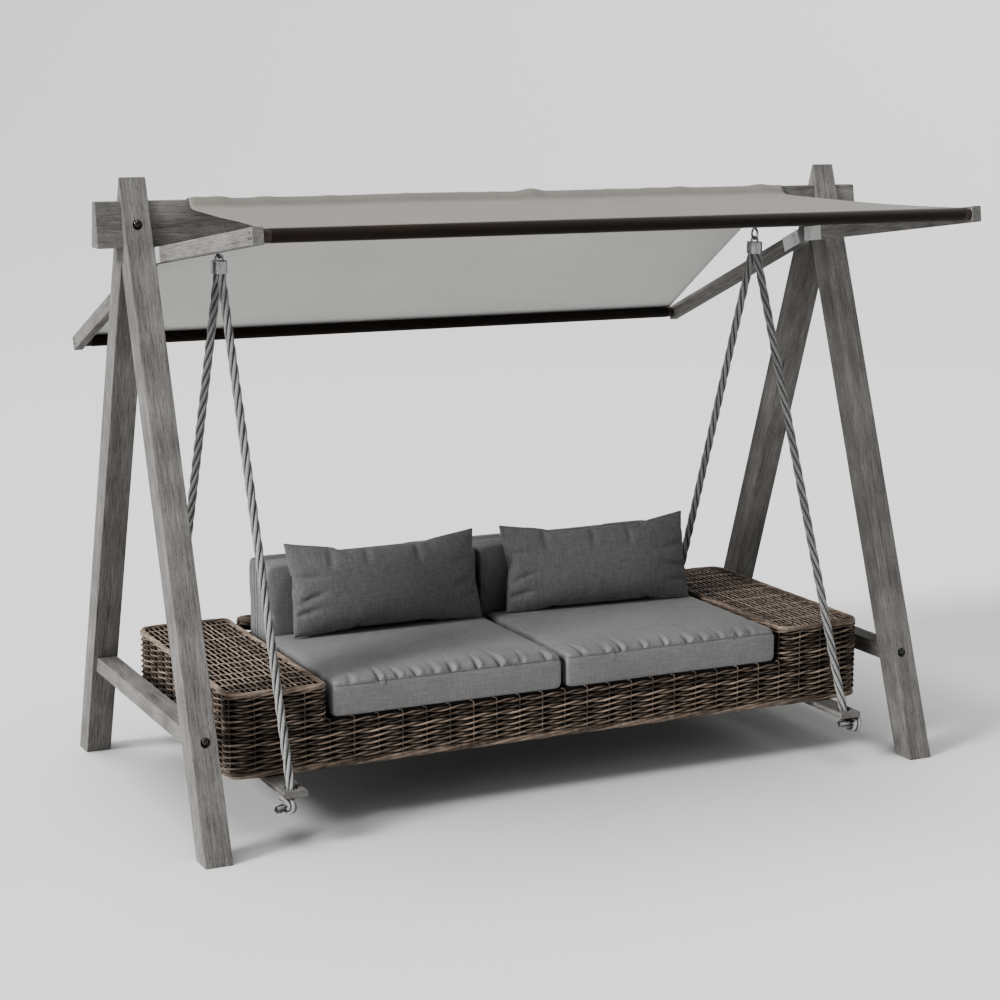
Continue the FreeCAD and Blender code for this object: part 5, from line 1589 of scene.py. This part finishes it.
@dataclass
class Studio:
    """Pale floor, soft light from the left and the camera of the picture."""

    camera_place: Triple = (-3.4055, -7.1084, 2.3996)
    camera_turn: Triple = (79.444, 0.0, -25.553)
    lens: float = 80.94
    sensor: float = 36.0
    floor_colour: Colour = (0.63, 0.63, 0.627)
    air_colour: Colour = (0.90, 0.905, 0.91)
    air_strength: float = 0.36
    look: str = "AgX - High Contrast"
    bowl: tuple[tuple[float, float], ...] = (
        (0.0, 0.0), (6.0, 0.0), (13.0, 0.0), (16.0, 0.25), (19.0, 1.0), (22.0, 2.3), (25.0, 4.4),
        (27.5, 7.0), (29.5, 10.0), (31.0, 13.5), (32.0, 17.0),
    )

    def camera(self) -> None:
        """Sets the camera up."""
        data = bpy.data.cameras.new("picture_camera")
        data.lens = self.lens
        data.sensor_width = self.sensor
        data.clip_end = 200.0
        camera = bpy.data.objects.new("picture_camera", data)
        camera.location = self.camera_place
        camera.rotation_euler = [math.radians(angle) for angle in self.camera_turn]
        bpy.context.scene.collection.objects.link(camera)
        bpy.context.scene.camera = camera

    def floor(self) -> None:
        """Lays a wide pale floor that curves up far off, so that no horizon shows."""
        work = bmesh.new()
        points = [work.verts.new((radius, 0.0, height)) for radius, height in self.bowl]
        edges = [work.edges.new(pair) for pair in zip(points, points[1:])]
        bmesh.ops.spin(
            work, geom=points + edges, cent=(0, 0, 0), axis=UP, angle=2 * math.pi, steps=96, use_merge=True
        )
        bmesh.ops.remove_doubles(work, verts=work.verts, dist=1e-4)
        bmesh.ops.recalc_face_normals(work, faces=work.faces)
        mesh = mesh_from("studio_floor", work)
        away = np.linalg.norm(points_of(mesh)[:, :2], axis=1)
        mesh.attributes.new("away", "FLOAT", "POINT").data.foreach_set("value", away.astype(np.float32))
        graph = Graph("pale_floor")
        far = tuple(value * 0.80 for value in self.floor_colour)
        colour = graph.mix(graph.attribute("away").step(5.0, 22.0), self.floor_colour, far)
        mesh.materials.append(graph.surface({"Base Color": colour}, {"Roughness": 0.9, "Specular IOR Level": 0.1}))
        floor = bpy.data.objects.new("studio_floor", mesh)
        floor.visible_shadow = False
        bpy.context.scene.collection.objects.link(floor)

    def light(self, name: str, toward: Triple, spread: float, power: float) -> None:
        """Adds one even, soft light from far off.

        Args:
            name: the light's name.
            toward: the way from the swing to the light.
            spread: how wide the light is, in degrees.
            power: its strength.
        """
        data = bpy.data.lights.new(name, "SUN")
        data.angle = math.radians(spread)
        data.energy = power
        lamp = bpy.data.objects.new(name, data)
        lamp.rotation_euler = Vector(toward).to_track_quat("Z", "Y").to_euler()
        bpy.context.scene.collection.objects.link(lamp)

    def build(self) -> None:
        """Makes the whole stage."""
        self.camera()
        self.floor()
        bpy.context.scene.view_settings.look = self.look
        self.light("left_soft_light", (-0.84, -0.12, 0.54), 16.0, 2.4)
        self.light("low_soft_light", (-1.0, -0.40, 0.16), 24.0, 0.95)
        self.light("top_soft_light", (-0.15, 0.05, 1.0), 45.0, 1.65)
        world = bpy.data.worlds.new("studio_air")
        world.use_nodes = True
        back = world.node_tree.nodes["Background"]
        back.inputs["Color"].default_value = (*self.air_colour, 1.0)
        back.inputs["Strength"].default_value = self.air_strength
        bpy.context.scene.world = world


def main() -> None:
    """Builds the stage and dresses the swing, piece by piece."""
    logging.basicConfig(level=logging.INFO, format="%(name)s %(message)s")
    Studio().build()
    RopeSet().build()
    PackedPieces().dress()
    Canopy().build()
    WovenSofa().build()
    Cushions().build()


if __name__ == "__main__":
    main()
